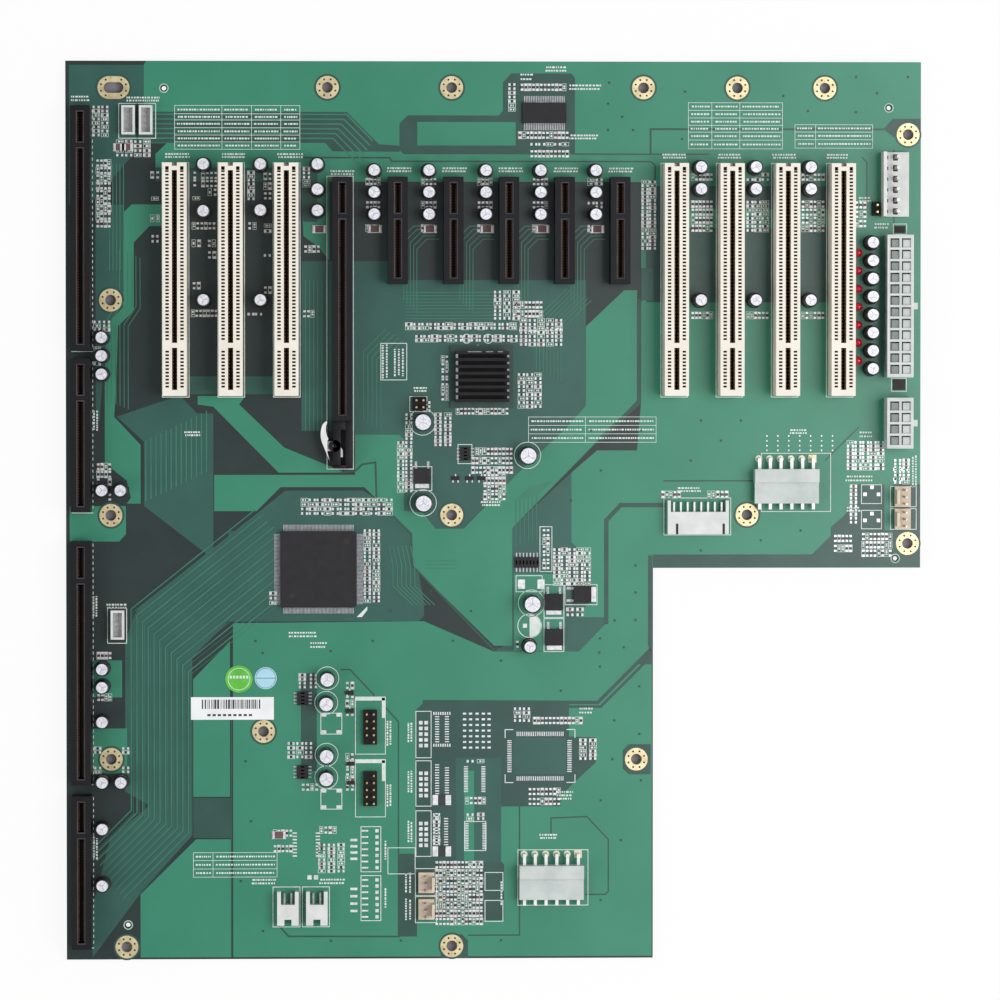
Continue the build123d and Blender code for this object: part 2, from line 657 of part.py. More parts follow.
def signal_pins():
    x, y = SIGNAL_CENTRE
    depth = SIGNAL_BODY_DEPTH + SIGNAL_REAR_DEPTH
    back_y = y + depth / 2 - SIGNAL_REAR_DEPTH
    columns = spread(SIGNAL_PINS, SIGNAL_PITCH, x)
    reach = SIGNAL_REAR_DEPTH - SIGNAL_PIN
    return angle_pins(columns, back_y, SIGNAL_PIN, SIGNAL_PIN_LEVEL, reach)


def wafer_housings():
    size_x, size_y = WAFER_SIZE
    solids = []
    for x, y in WAFER_CENTRES:
        body = block(size_x, size_y, WAFER_HEIGHT, x, y, BOARD_TOP)
        well = (size_x - 2 * WAFER_WALL, size_y - 2 * WAFER_WALL, WAFER_HEIGHT - WAFER_FLOOR)
        solids.append(body - block(*well, x, y, BOARD_TOP + WAFER_FLOOR))
    return solids


def wafer_pins():
    base = BOARD_TOP + WAFER_FLOOR
    size = (WAFER_PIN, WAFER_PIN, WAFER_HEIGHT - WAFER_FLOOR - WAFER_WALL)
    solids = []
    for x, y in WAFER_CENTRES:
        solids += [block(*size, x, row, base) for row in spread(WAFER_PINS, WAFER_PITCH, y)]
    return solids


def switch_housings():
    size_x, size_y = SWITCH_SIZE
    notch_x, notch_y = SWITCH_NOTCH
    solids = []
    for x, y in SWITCH_CENTRES:
        body = block(size_x, size_y, SWITCH_HEIGHT, x, y, BOARD_TOP)
        bay = size_y - SWITCH_REAR_LENGTH
        body -= block(size_x - 2 * SWITCH_ARM, bay, SWITCH_HEIGHT, x, y + size_y / 2 - bay / 2, BOARD_TOP)
        body -= block(notch_x, notch_y, SWITCH_HEIGHT, x, y - size_y / 2 + notch_y / 2, BOARD_TOP)
        solids.append(body)
    return solids


def switch_pins():
    size_y = SWITCH_SIZE[1]
    bay = size_y - SWITCH_REAR_LENGTH
    solids = []
    for x, y in SWITCH_CENTRES:
        columns = spread(2, SWITCH_PITCH, x)
        back_y = y + size_y / 2 - bay
        solids += angle_pins(columns, back_y, SWITCH_PIN, SWITCH_PIN_LEVEL, bay - SWITCH_PIN)
    return solids


def fan_places():
    """The centre of each fan header and the side of its tongue."""
    places = [(LOWER_FANS_X, y, 1) for y in LOWER_FANS_Y]
    return places + [(RIGHT_EDGE - RIGHT_FANS_INSET, y, -1) for y in RIGHT_FANS_Y]


def fan_headers():
    solids = []
    for x, y, side in fan_places():
        body = block(FAN_BASE_DEPTH, FAN_BASE_LENGTH, FAN_BASE_HEIGHT, x, y, BOARD_TOP)
        tongue_x = x + side * (FAN_BASE_DEPTH / 2 - FAN_TONGUE / 2)
        solids.append(body + block(FAN_TONGUE, FAN_TONGUE_LENGTH, FAN_TONGUE_HEIGHT, tongue_x, y, BOARD_TOP))
    return solids


def fan_pins():
    base = BOARD_TOP + FAN_BASE_HEIGHT
    size = (FAN_PIN, FAN_PIN, FAN_PIN_HEIGHT - FAN_BASE_HEIGHT)
    solids = []
    for x, y, side in fan_places():
        pin_x = x - side * FAN_TONGUE / 2
        solids += [block(*size, pin_x, row, base) for row in spread(FAN_PINS, FAN_PITCH, y)]
    return solids


def port_headers():
    """Centre, columns, rows and the row of the first column that has no pin."""
    return ((UPPER_PORT, PORT_COLUMNS, PORT_ROWS, 0), (LOWER_PORT, PORT_COLUMNS, PORT_ROWS, PORT_ROWS - 1))


def jumper_headers():
    power = (RIGHT_EDGE - POWER_JUMPER_INSET, POWER_JUMPER_Y)
    return (
        (BRIDGE_JUMPER, BRIDGE_JUMPER_COLUMNS, JUMPER_ROWS, None),
        (power, POWER_JUMPER_COLUMNS, JUMPER_ROWS, None),
    )


def pin_bases(headers):
    solids = []
    for centre, columns, rows, empty in headers:
        solids.append(block(columns * PIN_PITCH, rows * PIN_PITCH, PIN_BASE_HEIGHT, *centre, BOARD_TOP))
    return solids


def pin_groups(headers):
    base = BOARD_TOP + PIN_BASE_HEIGHT
    size = (PIN_SIZE, PIN_SIZE, PIN_TOP - PIN_BASE_HEIGHT)
    solids = []
    for (x, y), columns, rows, empty in headers:
        for column, pin_x in enumerate(spread(columns, PIN_PITCH, x)):
            for row, pin_y in enumerate(spread(rows, PIN_PITCH, y)):
                if (column, row) != (0, empty):
                    solids.append(block(*size, pin_x, pin_y, base))
    return solids


def bridge_levels():
    """Heights of the stack on the bridge chip: carrier, die, pad and heat sink."""
    carrier = BOARD_TOP
    die = carrier + BRIDGE_CARRIER[1]
    pad = die + BRIDGE_DIE[1]
    return carrier, die, pad, pad + PAD_THICKNESS


def bridge_chip():
    carrier, die, pad, sink = bridge_levels()
    body = block(BRIDGE_CARRIER[0], BRIDGE_CARRIER[0], BRIDGE_CARRIER[1], *BRIDGE_CENTRE, carrier)
    return body + block(BRIDGE_DIE[0], BRIDGE_DIE[0], BRIDGE_DIE[1], *BRIDGE_CENTRE, die)


def thermal_pad():
    carrier, die, pad, sink = bridge_levels()
    return block(BRIDGE_DIE[0], BRIDGE_DIE[0], PAD_THICKNESS, *BRIDGE_CENTRE, pad)


def heat_sink():
    x, y = BRIDGE_CENTRE
    sink = bridge_levels()[3]
    body = block(SINK_WIDTH, SINK_LENGTH, SINK_BASE, x, y, sink)
    fin_pitch = (SINK_LENGTH - SINK_FIN_WIDTH) / (SINK_FINS - 1)
    fin_height = SINK_HEIGHT - SINK_BASE
    rows = spread(SINK_FINS, fin_pitch, y)
    return body + [block(SINK_WIDTH, SINK_FIN_WIDTH, fin_height, x, row, sink + SINK_BASE) for row in rows]


def quad_chip():
    size, height = QUAD_BODY
    plan = chamfer(Rectangle(size, size).vertices(), QUAD_CORNER)
    return extrude(Pos(*QUAD_CENTRE, BOARD_TOP + CHIP_STANDOFF) * plan, height)


def chip(centre, size):
    size_x, size_y, height = size
    return block(size_x, size_y, height, *centre, BOARD_TOP)


def transistors():
    solids = []
    for (x, y), (size_x, size_y), layout in TRANSISTORS:
        tab_x, tab_y = (1, 0) if layout == "tab right" else (0, -1)
        body = block(size_x, size_y, TRANSISTOR_HEIGHT, x, y, BOARD_TOP)
        long_x = TAB_REACH if tab_x else TAB_WIDTH
        long_y = TAB_REACH if tab_y else TAB_WIDTH
        place_x = x + tab_x * (size_x + TAB_REACH) / 2
        place_y = y + tab_y * (size_y + TAB_REACH) / 2
        solids.append(body + block(long_x, long_y, TAB_THICKNESS, place_x, place_y, BOARD_TOP))
    return solids


def sticker(centre, diameter):
    return prism(diameter, LABEL_THICKNESS, STICKER_SIDES, *centre, BOARD_TOP)


def write(name, shape):
    if isinstance(shape, list):
        shape = Compound(shape)
    export_step(shape, f"parts/{name}.step")


def main():
    write("circuit_board", circuit_board())
    for number, index in enumerate(PCI_INDEXES, 1):
        write(f"pci_slot_{number}", pci_slot(index))
    for number, index in enumerate(X4_INDEXES, 1):
        centre = SERIAL_TOP_Y - X4_LENGTH / 2
        write(f"pcie_x4_slot_{number}", Pos(slot_x(index), centre, 0) * serial_housing(X4_LENGTH))
    for name, length, centre in host_places():
        write(name, Pos(HOST_SLOT_X, centre, 0) * serial_housing(length))
    write("pcie_x16_slot", pcie_x16_slot())
    write("latch_lever", latch_lever())
    write("latch_pin", latch_pin())
    write("small_capacitors", small_cans())
    write("medium_capacitors", larger_cans(MEDIUM_CAN, MEDIUM_CAN_PLACES))
    write("large_capacitors", larger_cans(LARGE_CAN, LARGE_CAN_PLACES))
    write("status_lamps", lamps())
    write("main_power_housing", power_housing(MAIN_POWER_CENTRE, MAIN_POWER_COLUMNS))
    write("main_power_pins", power_pins(MAIN_POWER_CENTRE, MAIN_POWER_COLUMNS))
    write("processor_power_housing", power_housing(PROCESSOR_POWER_CENTRE, PROCESSOR_POWER_COLUMNS))
    write("processor_power_pins", power_pins(PROCESSOR_POWER_CENTRE, PROCESSOR_POWER_COLUMNS))
    write("aux_power_housing", aux_housing())
    write("aux_power_pins", aux_pins())
    for name, centre in DISK_HEADERS:
        write(f"{name}_housing", disk_housing(centre))
        write(f"{name}_pins", disk_pins(centre))
    write("signal_header_housing", signal_housing())
    write("signal_header_pins", signal_pins())
    write("wafer_housings", wafer_housings())
    write("wafer_pins", wafer_pins())
    write("switch_header_housings", switch_housings())
    write("switch_header_pins", switch_pins())
    write("fan_header_housings", fan_headers())
    write("fan_header_pins", fan_pins())
    for name, headers in (("port_header", port_headers()), ("jumper", jumper_headers())):
        write(f"{name}_bases", pin_bases(headers))
        write(f"{name}_pins", pin_groups(headers))
    write("bridge_chip", bridge_chip())
    write("thermal_pad", thermal_pad())
    write("heat_sink", heat_sink())
    write("quad_flat_chip", quad_chip())
    write("shrink_chip", chip(SHRINK_CENTRE, SHRINK_BODY))
    write("small_outline_chips", [chip(centre, size) for centre, size in SMALL_CHIPS])
    write("power_transistors", transistors())
    write("surface_fuses", [chip(centre, FUSE_SIZE) for centre in FUSES])
    write("barcode_label", block(*BARCODE_SIZE, LABEL_THICKNESS, *BARCODE_CENTRE, BOARD_TOP))
    write("green_sticker", sticker(GREEN_STICKER_CENTRE, GREEN_STICKER_DIAMETER))
    write("blue_sticker", sticker(BLUE_STICKER_CENTRE, BLUE_STICKER_DIAMETER))


main()
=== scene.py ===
import bmesh
import bpy
import math
import random
from mathutils import Matrix, Vector


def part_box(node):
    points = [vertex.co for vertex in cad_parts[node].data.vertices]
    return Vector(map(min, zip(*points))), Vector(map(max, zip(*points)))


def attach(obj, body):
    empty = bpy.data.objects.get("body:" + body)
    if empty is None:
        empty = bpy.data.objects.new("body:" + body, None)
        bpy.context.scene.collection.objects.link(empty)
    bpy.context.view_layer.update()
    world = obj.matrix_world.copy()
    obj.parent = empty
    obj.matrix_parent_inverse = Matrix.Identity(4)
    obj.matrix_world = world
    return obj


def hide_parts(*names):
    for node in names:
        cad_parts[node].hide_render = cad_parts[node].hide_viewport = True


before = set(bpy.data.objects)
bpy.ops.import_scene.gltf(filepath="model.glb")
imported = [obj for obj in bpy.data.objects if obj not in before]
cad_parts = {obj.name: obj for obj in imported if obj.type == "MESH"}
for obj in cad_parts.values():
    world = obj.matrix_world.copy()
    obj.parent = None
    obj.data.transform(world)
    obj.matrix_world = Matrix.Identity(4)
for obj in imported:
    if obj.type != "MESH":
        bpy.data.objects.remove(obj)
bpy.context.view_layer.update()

# Everything is built in millimetres and brought to metres when a piece is finished.
MM = 0.001


def corners(node):
    """Lowest and highest corner of a CAD node, in millimetres."""
    low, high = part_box(node)
    return Vector(low) / MM, Vector(high) / MM


TOP = corners("circuit_board")[1].z
UNDERSIDE = corners("circuit_board")[0].z

# Printed layers stand this far above each other: copper under mask, gaps, traces, pads and legend
LAYER = 0.05
# Plates of one layer overlap, so each lies this much above the one before
LIFT = 0.002
FIELD, POUR, GAP, TRACE, PAD, LEGEND, OVERLAY = (TOP + step * LAYER for step in range(1, 8))

# Finishes


def linear(text):
    """The linear colour of an sRGB hex value."""
    shares = [int(text[i : i + 2], 16) / 255 for i in (1, 3, 5)]
    return (*[s / 12.92 if s <= 0.04045 else ((s + 0.055) / 1.055) ** 2.4 for s in shares], 1.0)


def add(tree, kind, settings=None, inputs=None):
    """Adds a shader node, sets its properties, and fills its sockets with values or links."""
    made = tree.nodes.new("ShaderNode" + kind)
    for name, value in (settings or {}).items():
        setattr(made, name, value)
    for name, value in (inputs or {}).items():
        if isinstance(value, bpy.types.NodeSocket):
            tree.links.new(value, made.inputs[name])
        else:
            made.inputs[name].default_value = value
    return made


def finish(name, tint, shade, roughness, patch_mm, grain_mm, relief_mm, sockets=None):
    """A finish drifting from tint to shade over patches, with a fine grain in gloss and surface."""
    material = bpy.data.materials.new(name)
    material.use_nodes = True
    tree = material.node_tree
    shader = tree.nodes["Principled BSDF"]
    place = add(tree, "TexCoord").outputs["Object"]
    patches = add(tree, "TexNoise", None, {"Vector": place, "Scale": 1 / (patch_mm * MM), "Detail": 4.0})
    spread = add(tree, "MapRange", None, {0: patches.outputs[0], 1: 0.35, 2: 0.65, 3: 0.0, 4: 1.0})
    blend = add(tree, "Mix", {"data_type": "RGBA"}, {0: spread.outputs[0], 6: linear(tint), 7: linear(shade)})
    grain = add(tree, "TexNoise", None, {"Vector": place, "Scale": 1 / (grain_mm * MM), "Detail": 2.0})
    limits = {3: roughness * 0.85, 4: min(1.0, roughness * 1.15)}
    gloss = add(tree, "MapRange", None, {0: grain.outputs[0], **limits})
    bump = {"Strength": 0.6, "Distance": relief_mm * MM, "Height": grain.outputs[0]}
    relief = add(tree, "Bump", None, bump)
    tree.links.new(blend.outputs[2], shader.inputs["Base Color"])
    tree.links.new(gloss.outputs[0], shader.inputs["Roughness"])
    tree.links.new(relief.outputs[0], shader.inputs["Normal"])
    for socket, value in (sockets or {}).items():
        shader.inputs[socket].default_value = value
    return material


def bare_mask():
    """Green solder mask over bare glass laminate: dark and glossy, with the weave just showing.
    The cut edge has no mask, so the pale laminate shows there."""
    material = finish("solder_mask_on_laminate", "#0F2423", "#152C2A", 0.34, 14.0, 0.5, 0.006)
    tree = material.node_tree
    shader = tree.nodes["Principled BSDF"]
    place = add(tree, "TexCoord").outputs["Object"]
    threads = {"Vector": place, "Scale": 1 / (1.6 * MM), "Distortion": 2.0}
    weave = add(tree, "TexWave", {"bands_direction": "DIAGONAL"}, threads)
    facing = add(tree, "SeparateXYZ", None, {0: add(tree, "NewGeometry").outputs["True Normal"]}).outputs[2]
    upright = add(tree, "Math", {"operation": "ABSOLUTE"}, {0: facing}).outputs[0]
    flat = add(tree, "Math", {"operation": "GREATER_THAN"}, {0: upright, 1: 0.5}).outputs[0]
    mask = shader.inputs["Base Color"].links[0].from_socket
    woven = add(tree, "MapRange", None, {0: weave.outputs["Fac"], 3: 0.0, 4: 0.12}).outputs[0]
    deep = add(tree, "Mix", {"data_type": "RGBA"}, {0: woven, 6: mask, 7: linear("#0C1E1D")}).outputs[2]
    cut = add(tree, "Mix", {"data_type": "RGBA"}, {0: flat, 6: linear("#5F6B45"), 7: deep}).outputs[2]
    tree.links.new(cut, shader.inputs["Base Color"])
    return material


# Each finish: name, its two tints, roughness, patch, grain and relief in mm, and other shader inputs
FINISH_ROWS = {
    # Solder mask over a copper pour: the copper lights the mask from below, so it is a clearer green
    "copper_under_mask": ("solder_mask_on_copper", "#287F63", "#2F8569", 0.34, 30.0, 0.6, 0.004),
    # Mask over the gaps between copper zones, a little lighter than over open laminate
    "mask_in_gaps": ("solder_mask_in_gaps", "#1E453D", "#244D45", 0.34, 12.0, 0.6, 0.004),
    # Mask over dense signal traces, halfway between the dark laminate and the bright copper
    "fine_traces_mask": ("solder_mask_on_traces", "#1F5248", "#255A4F", 0.34, 18.0, 0.6, 0.004),
    # Mask over single traces, which catch more light than the field round them
    "trace_mask": ("solder_mask_on_lines", "#347A62", "#2D6F59", 0.32, 10.0, 0.6, 0.004),
    # Screen-printed white epoxy ink: matt, thin enough to let a little green through
    "legend_ink": ("legend_ink", "#E4ECE6", "#D2DED6", 0.55, 2.0, 0.3, 0.004),
    # Legend ink printed over copper in hairlines, which lets more of the green through
    "faint_ink": ("thin_legend_ink", "#A9CDBB", "#98C0AC", 0.55, 2.0, 0.3, 0.004),
    # Immersion gold over nickel on the hole pads: pale, soft-edged reflections
    "gold_plating": ("immersion_gold", "#DDD0A6", "#C2B189", 0.38, 3.0, 0.3, 0.004, {"Metallic": 0.72}),
    # Tinned pads and solder fillets: bright grey, uneven as it froze
    "solder": ("tinned_solder", "#E9E9EA", "#C9CACD", 0.34, 1.2, 0.3, 0.02, {"Metallic": 0.35}),
    # Moulded glass-filled nylon, ivory: warm off-white with a dull sheen and faint flow marks
    "ivory_nylon": ("ivory_glass_nylon", "#F1EBDF", "#E9E1D2", 0.5, 9.0, 0.35, 0.01),
    # Moulded glass-filled nylon, black: deep purple-grey, with glass fibres near the surface
    "black_nylon": ("black_glass_nylon", "#0B0B0F", "#101014", 0.5, 7.0, 0.3, 0.01,
        {"Specular IOR Level": 0.22}),
    # The same black nylon on the lead-in slopes, drawn lighter grey: a painted highlight along the lips
    "black_nylon_highlight": ("nylon_slope_painted_highlight", "#55525A", "#47444C", 0.3, 4.0, 0.3, 0.004),
    # Painted shade: a near-black brown for the shaded contacts deep in each cell, also used for other dark
    # slots, holes and marks
    "slot_shadow": ("painted_shade_dark", "#15100D", "#1E1712", 0.6, 1.0, 0.3, 0.01),
    # Stamped phosphor-bronze contacts, lightly gold-flashed: brown between the slot's walls
    "contact_bronze": ("phosphor_bronze", "#6B4726", "#3F2A19", 0.4, 1.0, 0.2, 0.01, {"Metallic": 0.6}),
    # Moulded acetal of the card latch: clean white with a waxy sheen
    "latch_resin": ("white_acetal", "#E9E9E6", "#DDDDDA", 0.38, 4.0, 0.3, 0.006),
    # Unfilled nylon of the power headers: milky grey-white, a little translucent to the eye
    "natural_nylon": ("natural_nylon", "#CDD0CC", "#BCC1BE", 0.42, 6.0, 0.35, 0.01,
        {"Subsurface Weight": 0.08}),
    # Moulded nylon of the small signal headers: whiter and drier than the power headers
    "white_nylon": ("white_nylon", "#DEDFDD", "#CFD1D0", 0.45, 5.0, 0.35, 0.01),
    # Moulded nylon of the fan headers: pale sand
    "beige_nylon": ("beige_nylon", "#DCCBB6", "#CFBCA5", 0.48, 4.0, 0.35, 0.01),
    # Gold-flashed square posts: bright tips over a warm shank
    "pin_gold": ("gold_flashed_post", "#D9C48A", "#B99E62", 0.3, 2.0, 0.3, 0.004, {"Metallic": 0.85}),
    # Matt-tinned brass posts: grey metal with soft highlights
    "pin_tin": ("tinned_brass", "#B8B6B0", "#9C9A95", 0.35, 2.0, 0.3, 0.006, {"Metallic": 0.85}),
    # Long tinned pins of the disk headers, drawn nearly white all over: pale tin with a painted highlight
    "pin_tin_and_highlight": ("tin_and_painted_highlight", "#F1F1EE", "#E2E2DE", 0.3, 2.0, 0.3, 0.006, {"Metallic": 0.15}),
    # Grey of the terminals down inside the power sockets
    "socket_grey": ("terminal_grey", "#8A9390", "#7B8481", 0.5, 2.0, 0.3, 0.02),
    # Drawn steel wire of the latch pivot: neutral grey, brushed along its length
    "steel_pin": ("drawn_steel", "#A8A9AB", "#8E8F92", 0.32, 2.0, 0.2, 0.006, {"Metallic": 0.9}),
    # The open top of an aluminium can: white metal, slightly wavy from the press
    "can_aluminium": ("pressed_aluminium", "#E9E8EE", "#C9C8D2", 0.42, 0.9, 0.3, 0.02, {"Metallic": 0.25}),
    # Shrink-wrapped PET sleeve of a capacitor: black, glossy and drawn over the rim
    "can_sleeve": ("black_sleeve", "#141316", "#1C1B1F", 0.3, 3.0, 0.4, 0.01),
    # The pressed vent lines in the can top, seen as grey hairlines
    "vent_score": ("vent_score", "#A5A3AE", "#8F8D98", 0.5, 1.0, 0.3, 0.01, {"Metallic": 0.2}),
    # Tinted epoxy lens of an indicator lamp: deep red, wet-looking, glowing at the rim
    "lamp_resin": ("red_epoxy_lens", "#E0142F", "#B80F28", 0.12, 2.0, 0.5, 0.004,
        {"Subsurface Weight": 0.15}),
    # Black-anodised aluminium of the finned sink: satin; the grey marks on it are painted highlights in their
    # own finish
    "sink_anodised": ("black_anodised_aluminium", "#0B0A0D", "#141217", 0.5, 3.0, 0.25, 0.02,
        {"Specular IOR Level": 0.25}),
    # Grey metal drawn on the sink's edge and fin ends: painted highlights
    "sink_painted_glint": ("painted_fin_glint", "#8F8F96", "#76767D", 0.35, 1.5, 0.25, 0.02, {"Metallic": 0.6}),
    # Moulding compound of the chips: charcoal, sandy and matt
    "chip_epoxy": ("moulding_compound", "#141316", "#1B191E", 0.55, 3.0, 0.12, 0.01,
        {"Specular IOR Level": 0.35}),
    # The green organic carrier under the bridge chip
    "chip_carrier": ("organic_carrier", "#1E4238", "#193A31", 0.4, 5.0, 0.4, 0.01),
    # Silicone gap pad under the sink: grey, soft and dry
    "pad_silicone": ("silicone_pad", "#8D9196", "#7D8186", 0.7, 2.0, 0.3, 0.02),
    # Tinned leads of the chips: thin bright fingers, grey between highlights
    "lead_tin": ("tinned_lead", "#BDBBC0", "#A09EA5", 0.36, 1.5, 0.3, 0.01, {"Metallic": 0.5}),
    # Glazed resistor body: near black with a faint brown cast
    "resistor_body": ("resistor_glaze", "#1E1A1C", "#2A2326", 0.35, 1.0, 0.2, 0.006),
    # Sintered ceramic capacitor body: pinkish brown, matt
    "ceramic_body": ("ceramic_capacitor", "#6E4C4A", "#5C3B3A", 0.55, 1.0, 0.2, 0.006),
    # Dark polymer of the resettable fuses
    "fuse_body": ("polymer_fuse", "#23302C", "#1B2522", 0.5, 2.0, 0.2, 0.01),
    # Gloss polyester label: bright white
    "label_paper": ("white_polyester", "#F3F4F4", "#E8EAEB", 0.3, 9.0, 0.6, 0.003),
    # Black thermal-transfer ribbon ink, in plain bars
    "label_ink": ("ribbon_ink", "#2A2A2D", "#3A3A3E", 0.5, 1.0, 0.3, 0.003),
    # Bright green vinyl of the round sticker, lightly creased
    "green_vinyl": ("green_vinyl", "#62C43C", "#55B336", 0.35, 4.0, 0.5, 0.01),
    # Pale blue vinyl of the smaller round sticker
    "blue_vinyl": ("pale_blue_vinyl", "#B2DCEC", "#A4D0E2", 0.35, 4.0, 0.5, 0.01),
    # Mask drawn down into a plated hole: a small dark green dimple
    "via_dimple": ("tented_via", "#1E4A3A", "#173E31", 0.4, 1.0, 0.3, 0.004),
    # Black ring printed round the tooling holes; also the dark discs of the small holes round the mounting
    # holes, and the painted shadow rings round the small cans
    "black_ink_and_painted_shadow": ("black_ring", "#121212", "#1A1A1A", 0.5, 1.0, 0.3, 0.003),
}
FINISHES = {key: finish(*row) for key, row in FINISH_ROWS.items()}
FINISHES["bare_mask"] = bare_mask()

# Shapes

# Edges that turn by less than this many degrees are shaded smooth
SMOOTH_UNDER = 35


def paint(faces, material):
    for face in faces:
        face.material_index = material


def box(bm, low, high, material=0, turn=0.0):
    """A box between two corners, turned about its own upright axis."""
    low, high = Vector(low), Vector(high)
    place = Matrix.Translation((low + high) / 2) @ Matrix.Rotation(turn, 4, "Z")
    made = bmesh.ops.create_cube(bm, size=1, matrix=place @ Matrix.Diagonal((*(high - low), 1)))
    paint({face for vertex in made["verts"] for face in vertex.link_faces}, material)
    return made["verts"]


def soft_box(bm, low, high, edge, material=0):
    """A box with its edges rounded over."""
    made = box(bm, low, high, material)
    edges = list({line for vertex in made for line in vertex.link_edges})
    bmesh.ops.bevel(
        bm, geom=edges, offset=edge, offset_type="OFFSET", segments=2, profile=0.5, affect="EDGES",
        material=-1,
    )


def block_at(bm, x, y, size_x, size_y, low, high, material=0, turn=0.0):
    near, far = (x - size_x / 2, y - size_y / 2, low), (x + size_x / 2, y + size_y / 2, high)
    box(bm, near, far, material, turn)


def bar(bm, start, end, width, low, high, material=0):
    """A straight strip between two points, a little longer than their distance so that runs join."""
    start, end = Vector(start), Vector(end)
    middle, along = (start + end) / 2, end - start
    length = along.length + width * 0.7
    block_at(bm, middle.x, middle.y, length, width, low, high, material, math.atan2(along.y, along.x))


def run(bm, points, width, low, high, material=0):
    """A strip along several points; every second stretch lies a hair higher where two overlap."""
    for i, (start, end) in enumerate(zip(points, points[1:])):
        bar(bm, start, end, width, low, high + i % 2 * LIFT, material)


def plate(bm, outline, low, high, material=0):
    """A flat plate of any outline."""
    verts = [bm.verts.new((x, y, low)) for x, y in outline]
    face = bm.faces.new(verts)
    raised = bmesh.ops.extrude_face_region(bm, geom=[face])["geom"]
    moved = [item for item in raised if isinstance(item, bmesh.types.BMVert)]
    bmesh.ops.translate(bm, vec=(0, 0, high - low), verts=moved)
    faces = {item for vertex in verts + moved for item in vertex.link_faces}
    bmesh.ops.recalc_face_normals(bm, faces=list(faces))
    paint(faces, material)


def disc(bm, x, y, radius, low, high, material=0, sides=20):
    made = bmesh.ops.create_cone(
        bm, cap_ends=True, cap_tris=False, segments=sides, radius1=radius, radius2=radius,
        depth=high - low, matrix=Matrix.Translation((x, y, (low + high) / 2)),
    )
    paint({face for vertex in made["verts"] for face in vertex.link_faces}, material)


def turned(bm, profile, x, y, steps):
    """A round shape turned from (radius, height) points."""
    verts = [bm.verts.new((x + radius, y, height)) for radius, height in profile]
    lines = [bm.edges.new(pair) for pair in zip(verts, verts[1:])]
    earlier = set(bm.faces)
    bmesh.ops.spin(
        bm, geom=verts + lines, cent=(x, y, 0), axis=(0, 0, 1), angle=2 * math.pi, steps=steps, use_merge=True
    )
    corners_made = {v for face in bm.faces if face not in earlier for v in face.verts}
    bmesh.ops.remove_doubles(bm, verts=list(corners_made), dist=0.0005)
    faces = [face for face in bm.faces if face not in earlier]
    bmesh.ops.recalc_face_normals(bm, faces=faces)
    return faces


def ring(bm, x, y, inner, outer, low, high, material=0, sides=26, stretch=0.0):
    """A flat ring; stretch pulls its two halves apart along x, for a slotted hole."""
    profile = [(inner, low), (outer, low), (outer, high), (inner, high), (inner, low)]
    faces = turned(bm, profile, x, y, sides)
    paint(faces, material)
    for vertex in {vertex for face in faces for vertex in face.verts}:
        vertex.co.x += math.copysign(stretch / 2, vertex.co.x - x)


def stamp(bm, template, places):
    """Copies a template mesh to each (x, y) or (x, y, turn)."""
    for place in places:
        mark = len(bm.verts)
        bm.from_mesh(template)
        bm.verts.ensure_lookup_table()
        fresh = bm.verts[mark:]
        if len(place) > 2:
            bmesh.ops.rotate(bm, cent=(0, 0, 0), matrix=Matrix.Rotation(place[2], 3, "Z"), verts=fresh)
        bmesh.ops.translate(bm, vec=(place[0], place[1], 0), verts=fresh)


def template(build):
    """A mesh in millimetres that stamp() repeats."""
    bm = bmesh.new()
    build(bm)
    mesh = bpy.data.meshes.new("template")
    bm.to_mesh(mesh)
    bm.free()
    return mesh


def put(name, data):
    """Puts a mesh, a lamp or a camera into the scene."""
    made = bpy.data.objects.new(name, data)
    bpy.context.scene.collection.objects.link(made)
    return made


def put_mesh(name, bm):
    """Brings a bmesh in millimetres to metres and puts it into the scene."""
    bmesh.ops.scale(bm, vec=(MM, MM, MM), verts=bm.verts)
    mesh = bpy.data.meshes.new(name)
    bm.to_mesh(mesh)
    bm.free()
    return put(name, mesh)


def piece(name, bm, finishes, replaces=(), body="backplane"):
    """Turns a bmesh in millimetres into a piece that rides on a body."""
    made = put_mesh(name, bm)
    made.data.shade_smooth()
    made.data.set_sharp_from_angle(angle=math.radians(SMOOTH_UNDER))
    for finish_name in finishes:
        made.data.materials.append(FINISHES[finish_name])
    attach(made, body)
    if replaces:
        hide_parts(*replaces)


def dress(node, finish_name):
    """Gives a CAD node that keeps its shape its own finish."""
    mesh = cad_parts[node].data
    mesh.materials.clear()
    mesh.materials.append(FINISHES[finish_name])


def spread(count, pitch, centre):
    return [centre + (i - (count - 1) / 2) * pitch for i in range(count)]


# Board print: outlines in the plane of the board

